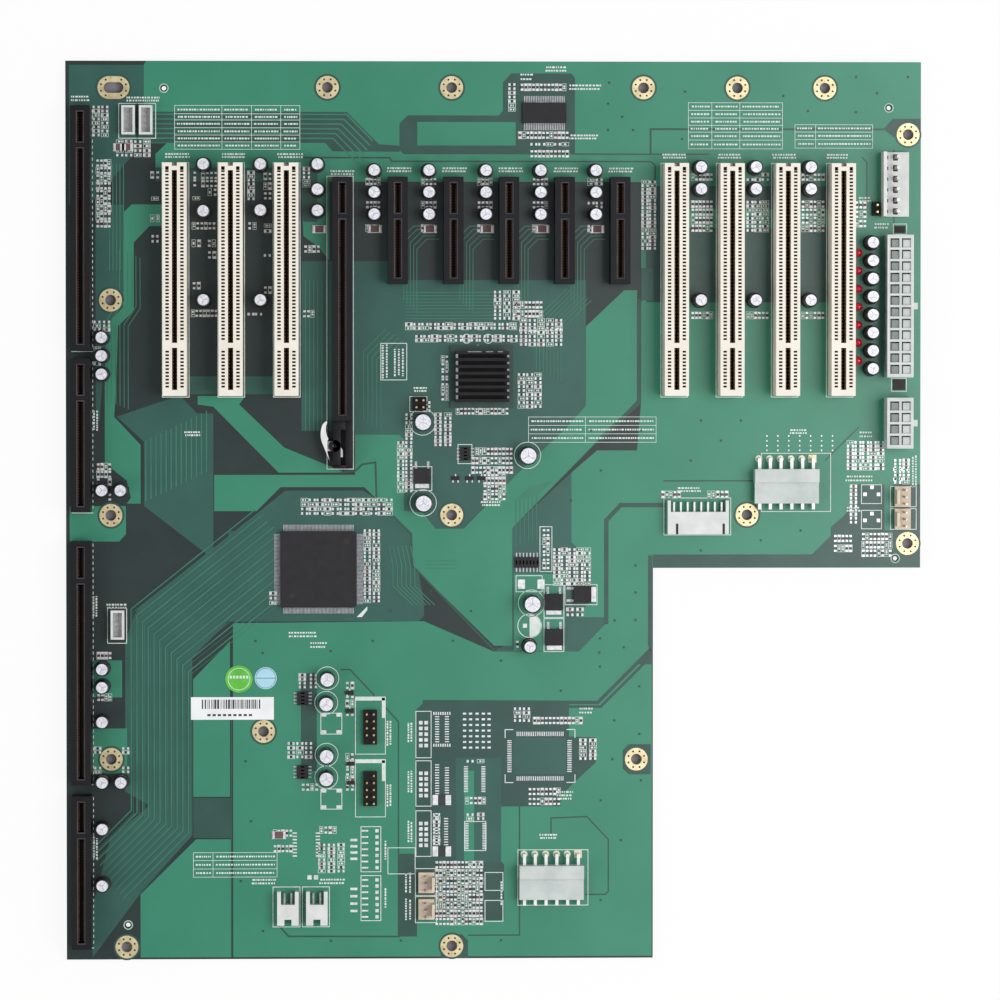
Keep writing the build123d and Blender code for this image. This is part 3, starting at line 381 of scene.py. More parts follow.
POURS = (
    # top strip and the zone round the tops of the left slots
    ((-127.3, 164.7), (156.9, 164.7), (156.9, 120.6), (-124, 120.6), (-124, 130.7), (-119.9, 134.6),
        (-128.3, 134.6), (-128.3, 163.2)),
    # right side
    ((54, 120.6), (156.9, 120.6), (156.9, -21.1), (58.4, -21.1), (56.9, -21.1), (56.9, 1.8), (46.5, 2),
        (41.2, -3.6), (41.2, -39.2), (29.8, -39.2), (35.5, -33.1), (35.5, -18.4), (28.4, -11.6),
        (28.4, 14), (37.8, 22.1), (52.5, 22.1), (54, 40.4)),
    # between the last long slot and the first serial slots
    ((-70.7, 120.6), (-60.4, 120.6), (-60.4, 91.5), (-64.4, 96.7), (-69.9, 100.7)),
    # left channel
    ((-121.3, 112.2), (-132.7, 112.2), (-135.8, 109.2), (-135.8, 74.7), (-142, 68), (-142.7, 51.9),
        (-142.7, 17.6), (-134.7, 11.1), (-133.2, 4.8), (-134.7, 2.7), (-129.6, 2.7), (-129.6, 24.2),
        (-139.2, 34.4), (-138.2, 55.1), (-137.8, 67.7), (-132, 73.3), (-132, 98.3), (-126.2, 104.3),
        (-121.3, 104.3)),
    ((-155.6, 1.8), (-135, 1.8), (-135, -8.5), (-137.5, -11.2), (-155.6, -11.2)),
    # diagonal band across the left middle
    ((-108.7, 42.1), (-108.7, 39), (-103, 38.2), (-79.1, 14), (-54.5, 14), (-77, 23.2), (-93.5, 39),
        (-91.3, 42.1)),
    ((-102.7, 13.2), (-49, 13.2), (-47.7, 12.1), (-47.7, 8.7), (-78.4, 8.7), (-87.2, -0.1), (-102.7, -0.1)),
    # middle, round the bridge chip's zone
    ((-51.1, 27.9), (-35, 27.9), (-33.1, 26.1), (-33.2, 0), (-26.3, -0.7), (-21.5, -6.6), (-11.3, -6.6),
        (8.2, 13.3), (26.7, 30.5), (33.7, 38.6), (33.7, 67.6), (47.7, 80.9), (52.5, 80.9), (52.5, 40.4),
        (6.6, -6.4), (6.6, -49.6), (-0.1, -49.6), (-30.1, -20.1), (-30.5, -8.5), (-43.2, 4.3),
        (-47.7, 8.7), (-51.1, 11)),
    # lower half
    ((-95.9, -41.2), (-25.8, -40.6), (-0.1, -51.8), (31.2, -51.8), (41.1, -41.5), (41.2, -3.6),
        (46.5, 2), (56.9, 1.8), (56.9, -51.5), (58, -56.2), (58, -164), (-95.9, -164)),
    ((-110.5, -61.8), (-97, -47.8), (-97, -105), (-110.5, -105)),
    ((-109.5, -120.6), (-96.7, -120.6), (-96.7, -164), (-129.9, -164), (-129.9, -140.8)),
    ((-147.3, -54.8), (-136.5, -54.8), (-136.5, -68.4), (-147.3, -68.4)),
    ((-147.3, -79.8), (-134.7, -79.8), (-134.7, -96.3), (-147.3, -96.3)),
)

FIELDS = (
    ((-155.6, 163.2), (-128.4, 163.2), (-128.4, 134.6), (-148.3, 112.1), (-155.6, 112.1)),
    ((-146, 112.1), (-135.8, 112.1), (-135.8, 75), (-142, 68), (-144.6, 33.1), (-146, 33.1)),
    ((-138.3, 34.6), (-115.2, 42.3), (-108.9, 35.7), (-128.4, 25.4)),
    ((-128.4, 25.4), (-108.9, 35.7), (-103, 35.7), (-103, -18.4), (-106, -15.4), (-128.4, 1.8)),
    ((-131, -36), (-76.6, 7.4), (-47.9, 7.4), (-43.5, 4.4), (-30.6, -8.5), (-30.6, -20.2), (-79.9, -11),
        (-97.5, -40.4), (-110.8, -53.7), (-110.8, -118.9), (-129.9, -140.4), (-147.5, -164),
        (-147.5, -145.2), (-140.9, -120.2), (-126.6, -108.1), (-135.4, -102.9), (-135.4, -47.8)),
    ((-97.5, -7.4), (-30.6, -7.4), (-25.8, -33.8), (-25.8, -38.6), (-27.7, -40.6), (-97.5, -40.6)),
    ((-51.2, 84.6), (33.7, 84.6), (33.7, 38.6), (26.7, 30.5), (8, 13.2), (-11.5, -6.6), (-21.4, -6.6),
        (-26.6, -0.7), (-33.2, 0), (-33.2, 26.1), (-35, 27.9), (-51.2, 27.9)),
    ((17.2, 3.7), (28.4, 14), (28.4, -11.6), (35.5, -18.4), (35.5, -33.1), (29.7, -39.2), (41.1, -39.2),
        (41.1, -41.5), (31.2, -51.8), (-0.1, -51.8), (6.6, -47.8), (6.6, -6.4)),
    ((-70.7, 91.5), (-38, 91.5), (-38, 29.4), (-70.7, 29.4)),
    ((-112.2, 49.3), (-79.9, 49.3), (-79.9, 42.8), (-112.2, 42.8)),
)

# Dark areas over the pours, where the copper is cut away
GAPS = (
    ((-128.3, 146.1), (-54, 146.1), (-42.2, 134.3), (-34.7, 133.8), (-34.7, 131.6), (-59.2, 131.7),
        (-61.9, 134.8), (-128.3, 134.8)),
    ((6.3, 160.3), (28.3, 160.3), (29.6, 158.8), (29.6, 130.7), (-33.2, 130.7), (-34.7, 132.2),
        (-34.7, 142), (-31.6, 144.9), (1.7, 144.9), (3.2, 146.7), (3.2, 157)),
    ((143.1, 140.1), (146.5, 143.9), (156.9, 143.9), (156.9, 136), (147, 137.1)),
    ((55.8, 119.1), (131.2, 119.1), (131.2, 110.7), (55.8, 110.7)),
    ((55.8, 103.8), (131.2, 103.8), (131.2, 76.5), (55.8, 76.5)),
    ((55.8, 114.7), (61.7, 114.7), (61.7, 76.5), (55.8, 76.5)),
    ((131, 9.6), (143.7, 9.6), (143.7, -7.4), (147, -7.4), (147, 9.6), (156.9, 9.6), (156.9, -21.1),
        (58.4, -21.1), (58.4, -16.2), (117, -16.2), (123.9, -9.4), (123.9, -6.2), (128.6, -2.2),
        (131, 0.7)),
    ((56.6, -16.5), (58.2, -16.5), (58.2, -51.5), (56.6, -49.6)),
    ((52.8, -56.6), (58.2, -56.6), (58.2, -51.5)),
    ((-28.8, -73.2), (-25.5, -70.2), (27.5, -71), (27.5, -83.1), (37.4, -83.5), (37.4, -92.6),
        (24.4, -104.8), (24.4, -108.8), (-1, -108.8), (-1, -125.4), (3.6, -130.1), (3.6, -150.7),
        (-28.8, -150.7)),
    ((-35, -126.1), (-28.4, -126.1), (-28.4, -156.6), (-35, -156.6)),
    ((47.3, -88.2), (49.5, -86), (57.6, -86), (57.6, -97.1), (49.5, -97.1), (47.3, -94.9)),
    ((-19.6, -158.1), (-17.4, -155.9), (-11.9, -155.9), (-9.7, -158.1), (-9.7, -164.7), (-19.6, -164.7)),
    ((-71, -59.6), (-65.2, -59.6), (-65.2, -95.6), (-71, -95.6)),
    ((-110.5, -105.4), (-96.7, -105.4), (-96.7, -120.1), (-110.5, -120.1)),
    ((-124, 125.7), (-70.7, 125.7), (-70.7, 120.6), (-124, 120.6)),
    ((-70.7, 125.7), (-64.8, 125.7), (-64.8, 105.9), (-69.9, 105.9), (-70.7, 114)),
)

# Clear copper left inside the dark areas
ISLANDS = (
    ((-28.2, 142.5), (7.9, 142.5), (7.9, 133.9), (-28.2, 133.9)),
    ((7.3, -23.2), (26, -23.2), (26, -51.5), (7.3, -51.5)),
    ((-11.1, -95.6), (-7.4, -95.6), (-7.4, -128.7), (-11.1, -128.7)),
)

# Signal areas inside the dark ones
MID_ISLANDS = (
    ((7.3, -83.5), (26.4, -83.5), (26.4, -96.9), (7.3, -96.9)),
    ((-14.1, -90.8), (2.5, -90.8), (2.5, -129.4), (-14.1, -129.4)),
    ((54, 89), (58.4, 89), (58.4, 77.2), (54, 77.2)),
)

# Narrow gaps cut in the pours: width in mm and the corners of each run
CUTS = (
    (0.5, ((-38.3, 129.4), (-37.6, 128.1), (29.7, 128.1), (57.6, 128.1), (59.1, 126.5), (59.1, 114.7))),
    (0.6, ((-71, 129.4), (-38.3, 129.4))), (0.5, ((29.7, 130.8), (78.6, 130.8))),
    (0.7, ((143.1, 140), (57.4, 140), (57.4, 130.9))), (0.5, ((-96.5, -76.5), (-96.5, -164))),
    (0.6, ((-79.6, -152), (-75.6, -156.4), (-34.8, -156.6))),
    (0.5, ((-56.3, -58.3), (-53, -58.3), (-44.2, -67.6), (-44.2, -69.9))),
    (0.7, ((-56.3, 14), (-50.7, 14.8), (-48.5, 17), (-43.6, 17.8), (-43.2, 4.3), (-30.5, -8.5),
        (-30.1, -20.1), (-0.1, -51.2))),
    (1.6, ((41.2, -41.2), (41.2, -3.6), (46.5, 2), (62.4, 2))),
    (1.3, ((56.9, -51.8), (38.1, -70.6), (-25.8, -70.2))),
    (1, ((57.6, -53.7), (39.2, -72.1), (27.5, -72.1))),
    (0.5, ((-39.9, -72.3), (-35.2, -77.5), (-35.2, -156.2))),
    (0.5, ((-9.4, -156.2), (9.3, -156.2), (9.3, -108.8))),
    (0.5, ((20.9, -119.1), (20.9, -113.1), (34.1, -112.6), (42, -121.1), (42, -140.3), (40.7, -141.3),
        (33.7, -141.3))),
    (0.5, ((121.9, 18.5), (134.1, 30.5))), (0.5, ((62.4, 10.9), (99.2, 10.9))),
    (1.5, ((53.2, 77.2), (53.2, 39.7), (39.2, 26.5))),
    (0.5, ((135.2, 129.8), (137, 127.9), (137, 114), (134.1, 110.3))),
    (0.6, ((147, 132.4), (147, 103.7))), (0.5, ((0.3, -50.6), (7.6, -50.6))),
    (0.5, ((-28.8, -91), (-23.3, -91))), (0.5, ((-28.8, -108.8), (-23.3, -108.8))),
)

# Bundles of parallel traces: first run, step to the next run, count and width in mm
BUNDLES = (
    (((-128.4, 145.2), (-54.1, 145.2), (-44.6, 135.7)), (-1.0, -1.75), 6, 0.55),
    (((-127.7, 25.7), (-127.7, 3.7)), (1.85, 0.9), 13, 0.5),
    (((-137.2, 95.6), (-137.2, 77.2), (-141.6, 70.6), (-141.6, 40.4)), (1.5, -0.6), 6, 0.3),
    (((-140.9, 126.8), (-140.9, 88.2)), (1.3, 0), 5, 0.35),
    (((-148.2, -124.8), (-133.2, -109.8), (-133.2, -36), (-88, 0.2)),
        ((1.2, -1.75), (2.1, -0.85), (2.1, -2.3), (2.3, -2.1)), 11, 0.45),
    (((-146.7, -125.4), (-132.5, -111.2), (-132.5, -37.1), (-87, -1.4)),
        ((1.2, -1.75), (2.1, -0.85), (2.1, -2.3), (2.3, -2.1)), 11, 0.16),
    (((-38.7, -12.9), (-37.2, -20.2), (-37.2, -27.6), (-29.9, -34.6)), (1.6, 0.0), 6, 0.35),
    (((-32.8, 80.1), (2.5, 80.1)), (0, -1.2), 9, 0.3),
    (((35.6, 77.2), (24.5, 66.2), (24.5, 47.8)), (-1.3, 0.6), 8, 0.3),
    (((-33.2, 77.2), (-33.2, 100.7), (-29.5, 104.4), (-25.1, 104.4)), (1.2, -1.2), 5, 0.35),
    (((-12.6, 77.2), (-12.6, 100.7), (-8.9, 104.4), (-4.9, 104.4)), (1.2, -1.2), 5, 0.35),
    (((7.6, 77.2), (7.6, 100.7), (11.3, 104.4), (15.3, 104.4)), (1.2, -1.2), 5, 0.35),
    (((28.2, 77.2), (28.2, 100.7), (31.9, 104.4), (35.9, 104.4)), (1.2, -1.2), 5, 0.35),
    (((-69.2, 29.4), (-69.2, 84.6)), (1.5, 0), 8, 0.35),
    (((8, -12.9), (8, 3.7), (13.5, 8.8)), (1.5, 0.4), 6, 0.35),
    (((-25.1, -18.4), (-14.1, -18.4)), (0, -1.4), 3, 0.3),
    (((-33.5, 62.5), (-41.6, 54.4), (-41.6, 29.4)), (-1.6, 1.0), 5, 0.35),
)


# Printed layers from low to high: outlines, level, finish and the gaps cut into them
PRINT_LAYERS = {
    "signal_fields": (FIELDS, FIELD, "fine_traces_mask", ()),
    "copper_pours": (POURS, POUR, "copper_under_mask", ()),
    "copper_gaps": (GAPS, GAP, "mask_in_gaps", CUTS),
    "copper_islands": (ISLANDS, TRACE, "copper_under_mask", ()),
    "signal_islands": (MID_ISLANDS, TRACE, "fine_traces_mask", ()),
}


def board_print():
    """Copper zones under the mask, then the gaps, islands and traces over them."""
    for name, (outlines, level, finish_name, cuts) in PRINT_LAYERS.items():
        bm = bmesh.new()
        for i, outline in enumerate(outlines):
            plate(bm, outline, TOP, level + i * LIFT)
        for width, points in cuts:
            run(bm, points, width, TOP, level - 2 * LIFT)
        piece(name, bm, [finish_name])
    bm = bmesh.new()
    for points, step, count, width in BUNDLES:
        steps = step if isinstance(step[0], tuple) else (step,) * len(points)
        for i in range(count):
            shifted = [(x + i * across, y + i * up) for (x, y), (across, up) in zip(points, steps)]
            run(bm, shifted, width, TOP, TRACE)
    piece("signal_traces", bm, ["trace_mask"])


dress("circuit_board", "bare_mask")
board_print()

# Holes

HOLE_RADIUS = 2.0
PAD_RADIUS = 4.2
CLEAR_RADIUS = 4.9
VIA_CIRCLE = 3.1
VIA_COUNT = 8
HOLE_VIA_RADIUS = 0.38
TOOLING_BORE = 0.86
HOLES = (
    (-61.1, 155.1), (-15.6, 155.1), (54.8, 155.1), (89.3, 155.1), (121.5, 155.1), (-140.5, 77.2),
    (-140.5, -1.6), (-140.5, -91.1), (-15.6, -1.6), (93, -1.6), (152.2, 138.1), (152.2, -12.2),
    (-84.7, -81), (52.3, -91.5), (-134.9, -160.1), (-15.6, -160.1),
)
SLOT_PAD = (-139.3, 154.9, 3.3)
TOOLING = ((-120.9, 154.7), (145.1, 147.9), (147.7, -17.7), (-134.4, -152.0))


def hole_pads():
    """Gold pads on both faces with a ring of small plated holes, inside a dark clearance."""
    pads, clear = bmesh.new(), bmesh.new()
    for x, y, stretch in [(*hole, 0.0) for hole in HOLES] + [SLOT_PAD]:
        ring(clear, x, y, PAD_RADIUS - 0.2, CLEAR_RADIUS, TOP, TRACE, stretch=stretch)
        ring(pads, x, y, HOLE_RADIUS + 0.02, PAD_RADIUS, TOP, PAD, stretch=stretch)
        ring(pads, x, y, HOLE_RADIUS + 0.02, PAD_RADIUS, UNDERSIDE - LAYER, UNDERSIDE, stretch=stretch)
        ring(pads, x, y, HOLE_RADIUS - 0.05, HOLE_RADIUS + 0.01, UNDERSIDE, TOP, stretch=stretch)
        for i in range(VIA_COUNT):
            angle = (i + 0.5) * 2 * math.pi / VIA_COUNT
            shift = math.copysign(stretch / 2, math.cos(angle))
            vx, vy = x + shift + VIA_CIRCLE * math.cos(angle), y + VIA_CIRCLE * math.sin(angle)
            disc(clear, vx, vy, HOLE_VIA_RADIUS, TOP, LEGEND, 1, 10)
    piece("hole_pads", pads, ["gold_plating"])
    piece("hole_clearances", clear, ["mask_in_gaps", "black_ink_and_painted_shadow"])
    bm = bmesh.new()
    for x, y in TOOLING:
        ring(bm, x, y, TOOLING_BORE + 0.01, 1.35, TOP, PAD)
        ring(bm, x, y, 1.35, 1.75, TOP, PAD, 1)
    piece("tooling_rings", bm, ["black_ink_and_painted_shadow", "faint_ink"])


def pierce_print():
    """Cuts the board's holes out of the printed layers that pass over them."""
    bm = bmesh.new()
    x, y, stretch = SLOT_PAD
    for hole in HOLES + ((x - stretch / 2, y), (x + stretch / 2, y)):
        disc(bm, *hole, HOLE_RADIUS + 0.015, UNDERSIDE - 1, TOP + 2, 0, 32)
    block_at(bm, x, y, stretch, 2 * HOLE_RADIUS + 0.03, UNDERSIDE - 1.1, TOP + 2.1)
    for hole in TOOLING:
        disc(bm, *hole, TOOLING_BORE, UNDERSIDE - 1, TOP + 2, 0, 20)
    cutters = put_mesh("hole_cutters", bm)
    for name in ("signal_fields", "copper_pours", "copper_gaps", "copper_islands", "signal_traces"):
        made = bpy.data.objects[name]
        cut = made.modifiers.new("holes", "BOOLEAN")
        cut.operation, cut.solver, cut.object, cut.use_self = "DIFFERENCE", "EXACT", cutters, True
        graph = bpy.context.evaluated_depsgraph_get()
        pierced = bpy.data.meshes.new_from_object(made.evaluated_get(graph))
        pierced.shade_flat()
        made.modifiers.clear()
        made.data = pierced
    bpy.data.objects.remove(cutters)


hole_pads()
pierce_print()

# Slots

PCI_NODES = [f"pci_slot_{i}" for i in range(1, 8)]
SERIAL_NODES = ["pcie_x16_slot"] + [f"pcie_x4_slot_{i}" for i in range(1, 6)]
HOST_NODES = [f"host_slot_{letter}" for letter in "abcd"]
CONTACT_PITCH = 1.27
# Contacts of every slot end this far below its top
CONTACT_TOP = 1.6
CELL_LENGTH = 0.68
CELL_NEAR, CELL_FAR = 2.05, 3.35
CELL_DEPTH = 4.0
# One larger cell at the head of each row, between the head and the first contact
BIG_CELL = 1.35
BIG_CELL_DROP = 2.7
PCI_CELLS_LONG = 49
PCI_CELLS_SHORT = 11
PCI_HALF_SLOT = 0.95
PCI_DEPTH = 9.0
PCI_KEY_DROP = 66.4
PCI_KEY_HALF = 0.9
PCI_FIRST_CELL = 2.3
PCI_HEAD_WALL = 2.75
PCI_FOOT_WALL = 2.2
PCI_NOTCH = 1.2
PCI_NOTCH_DEPTH = 3.0
PCI_PEG_INSET = 3.4
PEG = 2.2


def mapped_grid(bm, columns, rows, z):
    """A flat grid whose lines lie at the given x and y values."""
    made = bmesh.ops.create_grid(bm, x_segments=len(columns) - 1, y_segments=len(rows) - 1, size=1)
    across = sorted({round(vertex.co.x, 4) for vertex in made["verts"]})
    along = sorted({round(vertex.co.y, 4) for vertex in made["verts"]})
    for vertex in made["verts"]:
        x, y = round(vertex.co.x, 4), round(vertex.co.y, 4)
        vertex.co = (columns[across.index(x)], rows[along.index(y)], z)


def sink(bm, faces, depth, material=None):
    """Presses a set of joined faces down and paints what becomes the floor."""
    raised = bmesh.ops.extrude_face_region(bm, geom=faces)["geom"]
    moved = [item for item in raised if isinstance(item, bmesh.types.BMVert)]
    bmesh.ops.translate(bm, vec=(0, 0, -depth), verts=moved)
    bmesh.ops.delete(bm, geom=faces, context="FACES")
    if material is not None:
        paint([item for item in raised if isinstance(item, bmesh.types.BMFace)], material)


def close_below(bm, grid_low):
    """Draws the rim of an open top down to grid_low and closes it with a floor."""
    rim = [line for line in bm.edges if line.is_boundary]
    walls = bmesh.ops.extrude_edge_only(bm, edges=rim)["geom"]
    foot = [item for item in walls if isinstance(item, bmesh.types.BMVert)]
    for vertex in foot:
        vertex.co.z = grid_low
    bottom = [line for line in bm.edges if line.is_boundary]
    bmesh.ops.edgeloop_fill(bm, edges=bottom)
    bmesh.ops.recalc_face_normals(bm, faces=bm.faces)


def inside(face, x0, x1, y0, y1):
    middle = face.calc_center_median()
    return x0 < middle.x < x1 and y0 < middle.y < y1


def pci_rows(half):
    """The y lines of a 32-bit slot from its lower end, and the spans of the cells and of the card slot."""
    key = half - PCI_KEY_DROP
    slots = ((key + PCI_KEY_HALF, half - PCI_HEAD_WALL), (-half + PCI_FOOT_WALL, key - PCI_KEY_HALF))
    cells = [key + PCI_FIRST_CELL + i * CONTACT_PITCH for i in range(PCI_CELLS_LONG)]
    cells += [key - PCI_FIRST_CELL - i * CONTACT_PITCH for i in range(PCI_CELLS_SHORT)]
    spans = [(c - CELL_LENGTH / 2, c + CELL_LENGTH / 2) for c in cells]
    spans.append((half - BIG_CELL_DROP, half - BIG_CELL_DROP + BIG_CELL))
    lines = {-half, half, half - PCI_NOTCH}
    for span in (*spans, *slots):
        lines |= set(span)
    return sorted(lines), spans, slots


def pci_housing(node):
    low, high = corners(node)
    centre = (low + high) / 2
    half = (high.y - low.y) / 2
    side = (high.x - low.x) / 2
    rows, spans, slots = pci_rows(half)
    columns = [-side, -CELL_FAR, -CELL_NEAR, -PCI_HALF_SLOT, PCI_HALF_SLOT, CELL_NEAR, CELL_FAR, side]
    bm = bmesh.new()
    mapped_grid(bm, columns, rows, high.z)
    # The floors of the card slots and contact cells take the dark finish: painted shade
    for start, end in slots:
        faces = [face for face in bm.faces if inside(face, -PCI_HALF_SLOT, PCI_HALF_SLOT, start, end)]
        sink(bm, faces, PCI_DEPTH, 1)
    for start, end in spans:
        for near, far in ((CELL_NEAR, CELL_FAR), (-CELL_FAR, -CELL_NEAR)):
            faces = [
                face for face in bm.faces
                if inside(face, near, far, start, end) and face.calc_center_median().z > high.z - 0.1
            ]
            sink(bm, faces, CELL_DEPTH, 1)
    notch = (-PCI_HALF_SLOT, PCI_HALF_SLOT, half - PCI_NOTCH, half)
    sink(bm, [face for face in bm.faces if inside(face, *notch)], PCI_NOTCH_DEPTH)
    close_below(bm, TOP)
    for start, end in slots:
        count = int((end - start) / CONTACT_PITCH)
        for y in spread(count, CONTACT_PITCH, (start + end) / 2):
            for hand in (-1, 1):
                x = hand * (PCI_HALF_SLOT - 0.28)
                block_at(bm, x, y, 0.5, 0.7, high.z - PCI_DEPTH + 0.2, high.z - CONTACT_TOP, 2)
    for hand in (-1, 1):
        block_at(bm, 0, hand * (half - PCI_PEG_INSET), PEG, PEG, 0, TOP)
    bmesh.ops.translate(bm, vec=(centre.x, centre.y, 0), verts=bm.verts)
    piece(f"{node}_housing", bm, ["ivory_nylon", "slot_shadow", "contact_bronze"], [node])


SERIAL_HALF = 3.6
SERIAL_HEIGHT = 11.25
SERIAL_DEPTH = 7.6
SERIAL_KEY_DROP = 14.4
SERIAL_KEY_HALF = 0.85
SERIAL_END_WALL = 1.9
SERIAL_PEG_INSET = 2.4
SERIAL_PITCH = 1.0
# The contacts keep this far from the slot's ends and from the middle of the key
SERIAL_CONTACT_END, SERIAL_CONTACT_KEY = 2.4, 1.2
MOUTH = 1.5
LEAD_IN = 0.38


def serial_shell(bm, length, top):
    """A black slot centred on the origin: wide mouth with sloped lips, key bar and two rows of contacts."""
    half = length / 2
    key = half - SERIAL_KEY_DROP
    end = half - SERIAL_END_WALL
    openings = ((-end, key - SERIAL_KEY_HALF), (key + SERIAL_KEY_HALF, end))
    rows = [-half, *openings[0], *openings[1], half]
    mapped_grid(bm, [-SERIAL_HALF, -MOUTH, MOUTH, SERIAL_HALF], rows, top)
    # The lips take the lighter grey finish, a painted highlight, and the floors the dark one, painted shade
    for start, end in openings:
        faces = [face for face in bm.faces if inside(face, -MOUTH, MOUTH, start, end)]
        lips = bmesh.ops.inset_region(
            bm, faces=faces, thickness=LEAD_IN, depth=-LEAD_IN, use_even_offset=True, use_boundary=True
        )["faces"]
        paint(lips, 1)
        sink(bm, faces, SERIAL_DEPTH, 2)
    close_below(bm, TOP)
    end = half - SERIAL_CONTACT_END
    for start, end in ((-end, key - SERIAL_CONTACT_KEY), (key + SERIAL_CONTACT_KEY, end)):
        for y in spread(int((end - start) / SERIAL_PITCH), SERIAL_PITCH, (start + end) / 2):
            for hand in (-1, 1):
                block_at(bm, hand * 0.86, y, 0.42, 0.5, top - SERIAL_DEPTH, top - CONTACT_TOP, 3)


def serial_housing(node, length, centre_y, extra=None):
    bm = bmesh.new()
    serial_shell(bm, length, TOP + SERIAL_HEIGHT)
    for hand in (-1, 1):
        block_at(bm, 0, hand * (length / 2 - SERIAL_PEG_INSET), PEG, PEG, 0, TOP)
    x = corners(node)[1].x - SERIAL_HALF
    bmesh.ops.translate(bm, vec=(x, centre_y, 0), verts=bm.verts)
    if extra:
        extra(bm, x, centre_y - length / 2)
    finishes = ["black_nylon", "black_nylon_highlight", "slot_shadow", "contact_bronze"]
    piece(f"{node}_housing", bm, finishes, [node])


# Card latch frame, from the same sizes as its CAD node
LATCH_LENGTH = 17.3
LATCH_HEIGHT = 9.6
LATCH_FLOOR = 3.6
LATCH_ROOF = 1.4
BAR_WIDTH = 2.5
WINDOW = 1.7
PLATE_WIDTH = 2.9
PIVOT_DROP = 9.2
PIVOT_INSET = 0.7
HEAD_BLOCK = 3.3
FOOT_BLOCK = 1.2
BOSS_BORE, BOSS_RADIUS = 0.72, 2.2


def latch_frame(bm, x, start):
    """The moulded frame below the long slot: a bar, an end, and two plates with the lever between them."""
    right = x + SERIAL_HALF
    left = right - BAR_WIDTH - WINDOW - PLATE_WIDTH
    window_left, window_right = left + PLATE_WIDTH, right - BAR_WIDTH
    end = start - LATCH_LENGTH
    pivot = (left + PIVOT_INSET, start - PIVOT_DROP)
    roof = TOP + LATCH_HEIGHT
    soft_box(bm, (window_right, end, TOP), (right, start, roof), 0.2)
    soft_box(bm, (left, start - HEAD_BLOCK, TOP), (window_right + 0.1, start, roof), 0.2)
    soft_box(bm, (left, end, TOP), (window_right + 0.1, end + FOOT_BLOCK, roof), 0.2)
    for low, high in ((TOP, TOP + LATCH_FLOOR), (roof - LATCH_ROOF, roof)):
        soft_box(bm, (left, end + 0.6, low), (window_left, start - 3.0, high), 0.15)
        ring(bm, *pivot, BOSS_BORE, BOSS_RADIUS, low, high, 0, 24)
    for low, high in ((start - 4.2, start - 3.2), (end + 1.1, end + 1.8)):
        box(bm, (left, low, TOP + LATCH_FLOOR - 0.1), (window_left, high, roof - LATCH_ROOF + 0.1))


def all_slots():
    for node in PCI_NODES:
        pci_housing(node)
    for node in SERIAL_NODES[1:] + HOST_NODES:
        low, high = corners(node)
        serial_housing(node, high.y - low.y, (low.y + high.y) / 2)
    low, high = corners("pcie_x16_slot")
    length = high.y - low.y - LATCH_LENGTH
    serial_housing("pcie_x16_slot", length, high.y - length / 2, latch_frame)
    dress("latch_lever", "latch_resin")
    dress("latch_pin", "steel_pin")


all_slots()

# Round capacitors

CAN_COLUMNS = (
    (-106.4, (126.7, 109.6, 77.2)),
    (-85.6, (126.7, 109.9, 77.2)),
    (-64.8, (126.7, 117.5, 109.8)),
    (-44.1, (124.5, 116.5, 108.5)),
    (-24.1, (124.5, 116.5, 108.5)),
    (-3.3, (124.5, 116.5, 108.5)),
    (16.7, (124.5, 116.5, 108.5)),
    (36.9, (124.5, 116.5, 108.5)),
    (75.4, (125.8, 117.8, 77.2)),
    (95.5, (125.8, 117.8, 77.2)),
    (115.6, (125.8, 117.8, 77.2)),
    (138.4, [98.3 - 6.6 * i for i in range(8)]),
    (-143.5, (63.5, 56.8, 50.1, 7.7, -57.6, -64.2, -76.9, -99.0, -116.0, -136.7)),
    (-136.7, (7.7, -99.0)),
    (12.8, (-49.6,)),
)
MEDIUM_PLACES = ((-61.3, -61.5), (-61.7, -70.5), (-61.6, -89.6), (-61.7, -97.9))
LARGE_PLACES = ((-26.3, 32.6), (12.2, 20.3), (-26.1, 2.9), (13.7, -34))
# The sleeve is folded this far over the top
FOLD = 0.45
# Size of the cans of each group: diameter and height
SMALL_CAN, MEDIUM_CAN, LARGE_CAN = (5.0, 11.0), (5.8, 11.0), (6.6, 11.5)
LAMP_X, LAMP_Y, LAMP_PITCH, LAMP_COUNT = 133.6, 94.6, 6.6, 7
LENS_PROFILE = ((0, 0), (1.5, 0), (1.5, 3.8), (1.38, 4.5), (1.0, 5.0), (0.5, 5.25), (0, 5.3))


def can(diameter, height):
    """A sleeved can: crimped groove near its foot, sleeve folded over the rim, scored top."""
    radius = diameter / 2

    def build(bm):
        base, top = TOP, TOP + height
        sleeve = [
            (0, base), (radius - 0.25, base), (radius, base + 0.3), (radius, base + 1.3),
            (radius - 0.3, base + 1.7), (radius, base + 2.1), (radius, top - 0.35),
            (radius - 0.15, top - 0.1), (radius - FOLD, top),
        ]
        metal = [(radius - FOLD - 0.05, top - 0.12), (0, top - 0.12)]
        turned(bm, sleeve + metal, 0, 0, 20)
        for face in bm.faces:
            middle = face.calc_center_median()
            if middle.z > top - 0.125 and middle.xy.length < radius - FOLD + 0.01:
                face.material_index = 1
        for i in range(3):
            angle = math.pi * (0.5 + i * 2 / 3)
            reach = radius * 0.6
            end = (reach * math.cos(angle), reach * math.sin(angle))
            bar(bm, (0, 0), end, 0.16, top - 0.13, top - 0.1, 2)
    return template(build)


def capacitors():
    small = [(x, y, (x * 7 + y * 3) % 6) for x, rows in CAN_COLUMNS for y in rows]
    groups = (
        ("small_capacitors", SMALL_CAN, small),
        ("medium_capacitors", MEDIUM_CAN, MEDIUM_PLACES),
        ("large_capacitors", LARGE_CAN, LARGE_PLACES),
    )
    for node, size, places in groups:
        bm = bmesh.new()
        stamp(bm, can(*size), places)
        piece(f"{node}_sleeved", bm, ["can_sleeve", "can_aluminium", "vent_score"], [node])


def lamp(bm):
    """A domed lens on a straight round foot."""
    turned(bm, [(radius, TOP + height) for radius, height in LENS_PROFILE], 0, 0, 20)


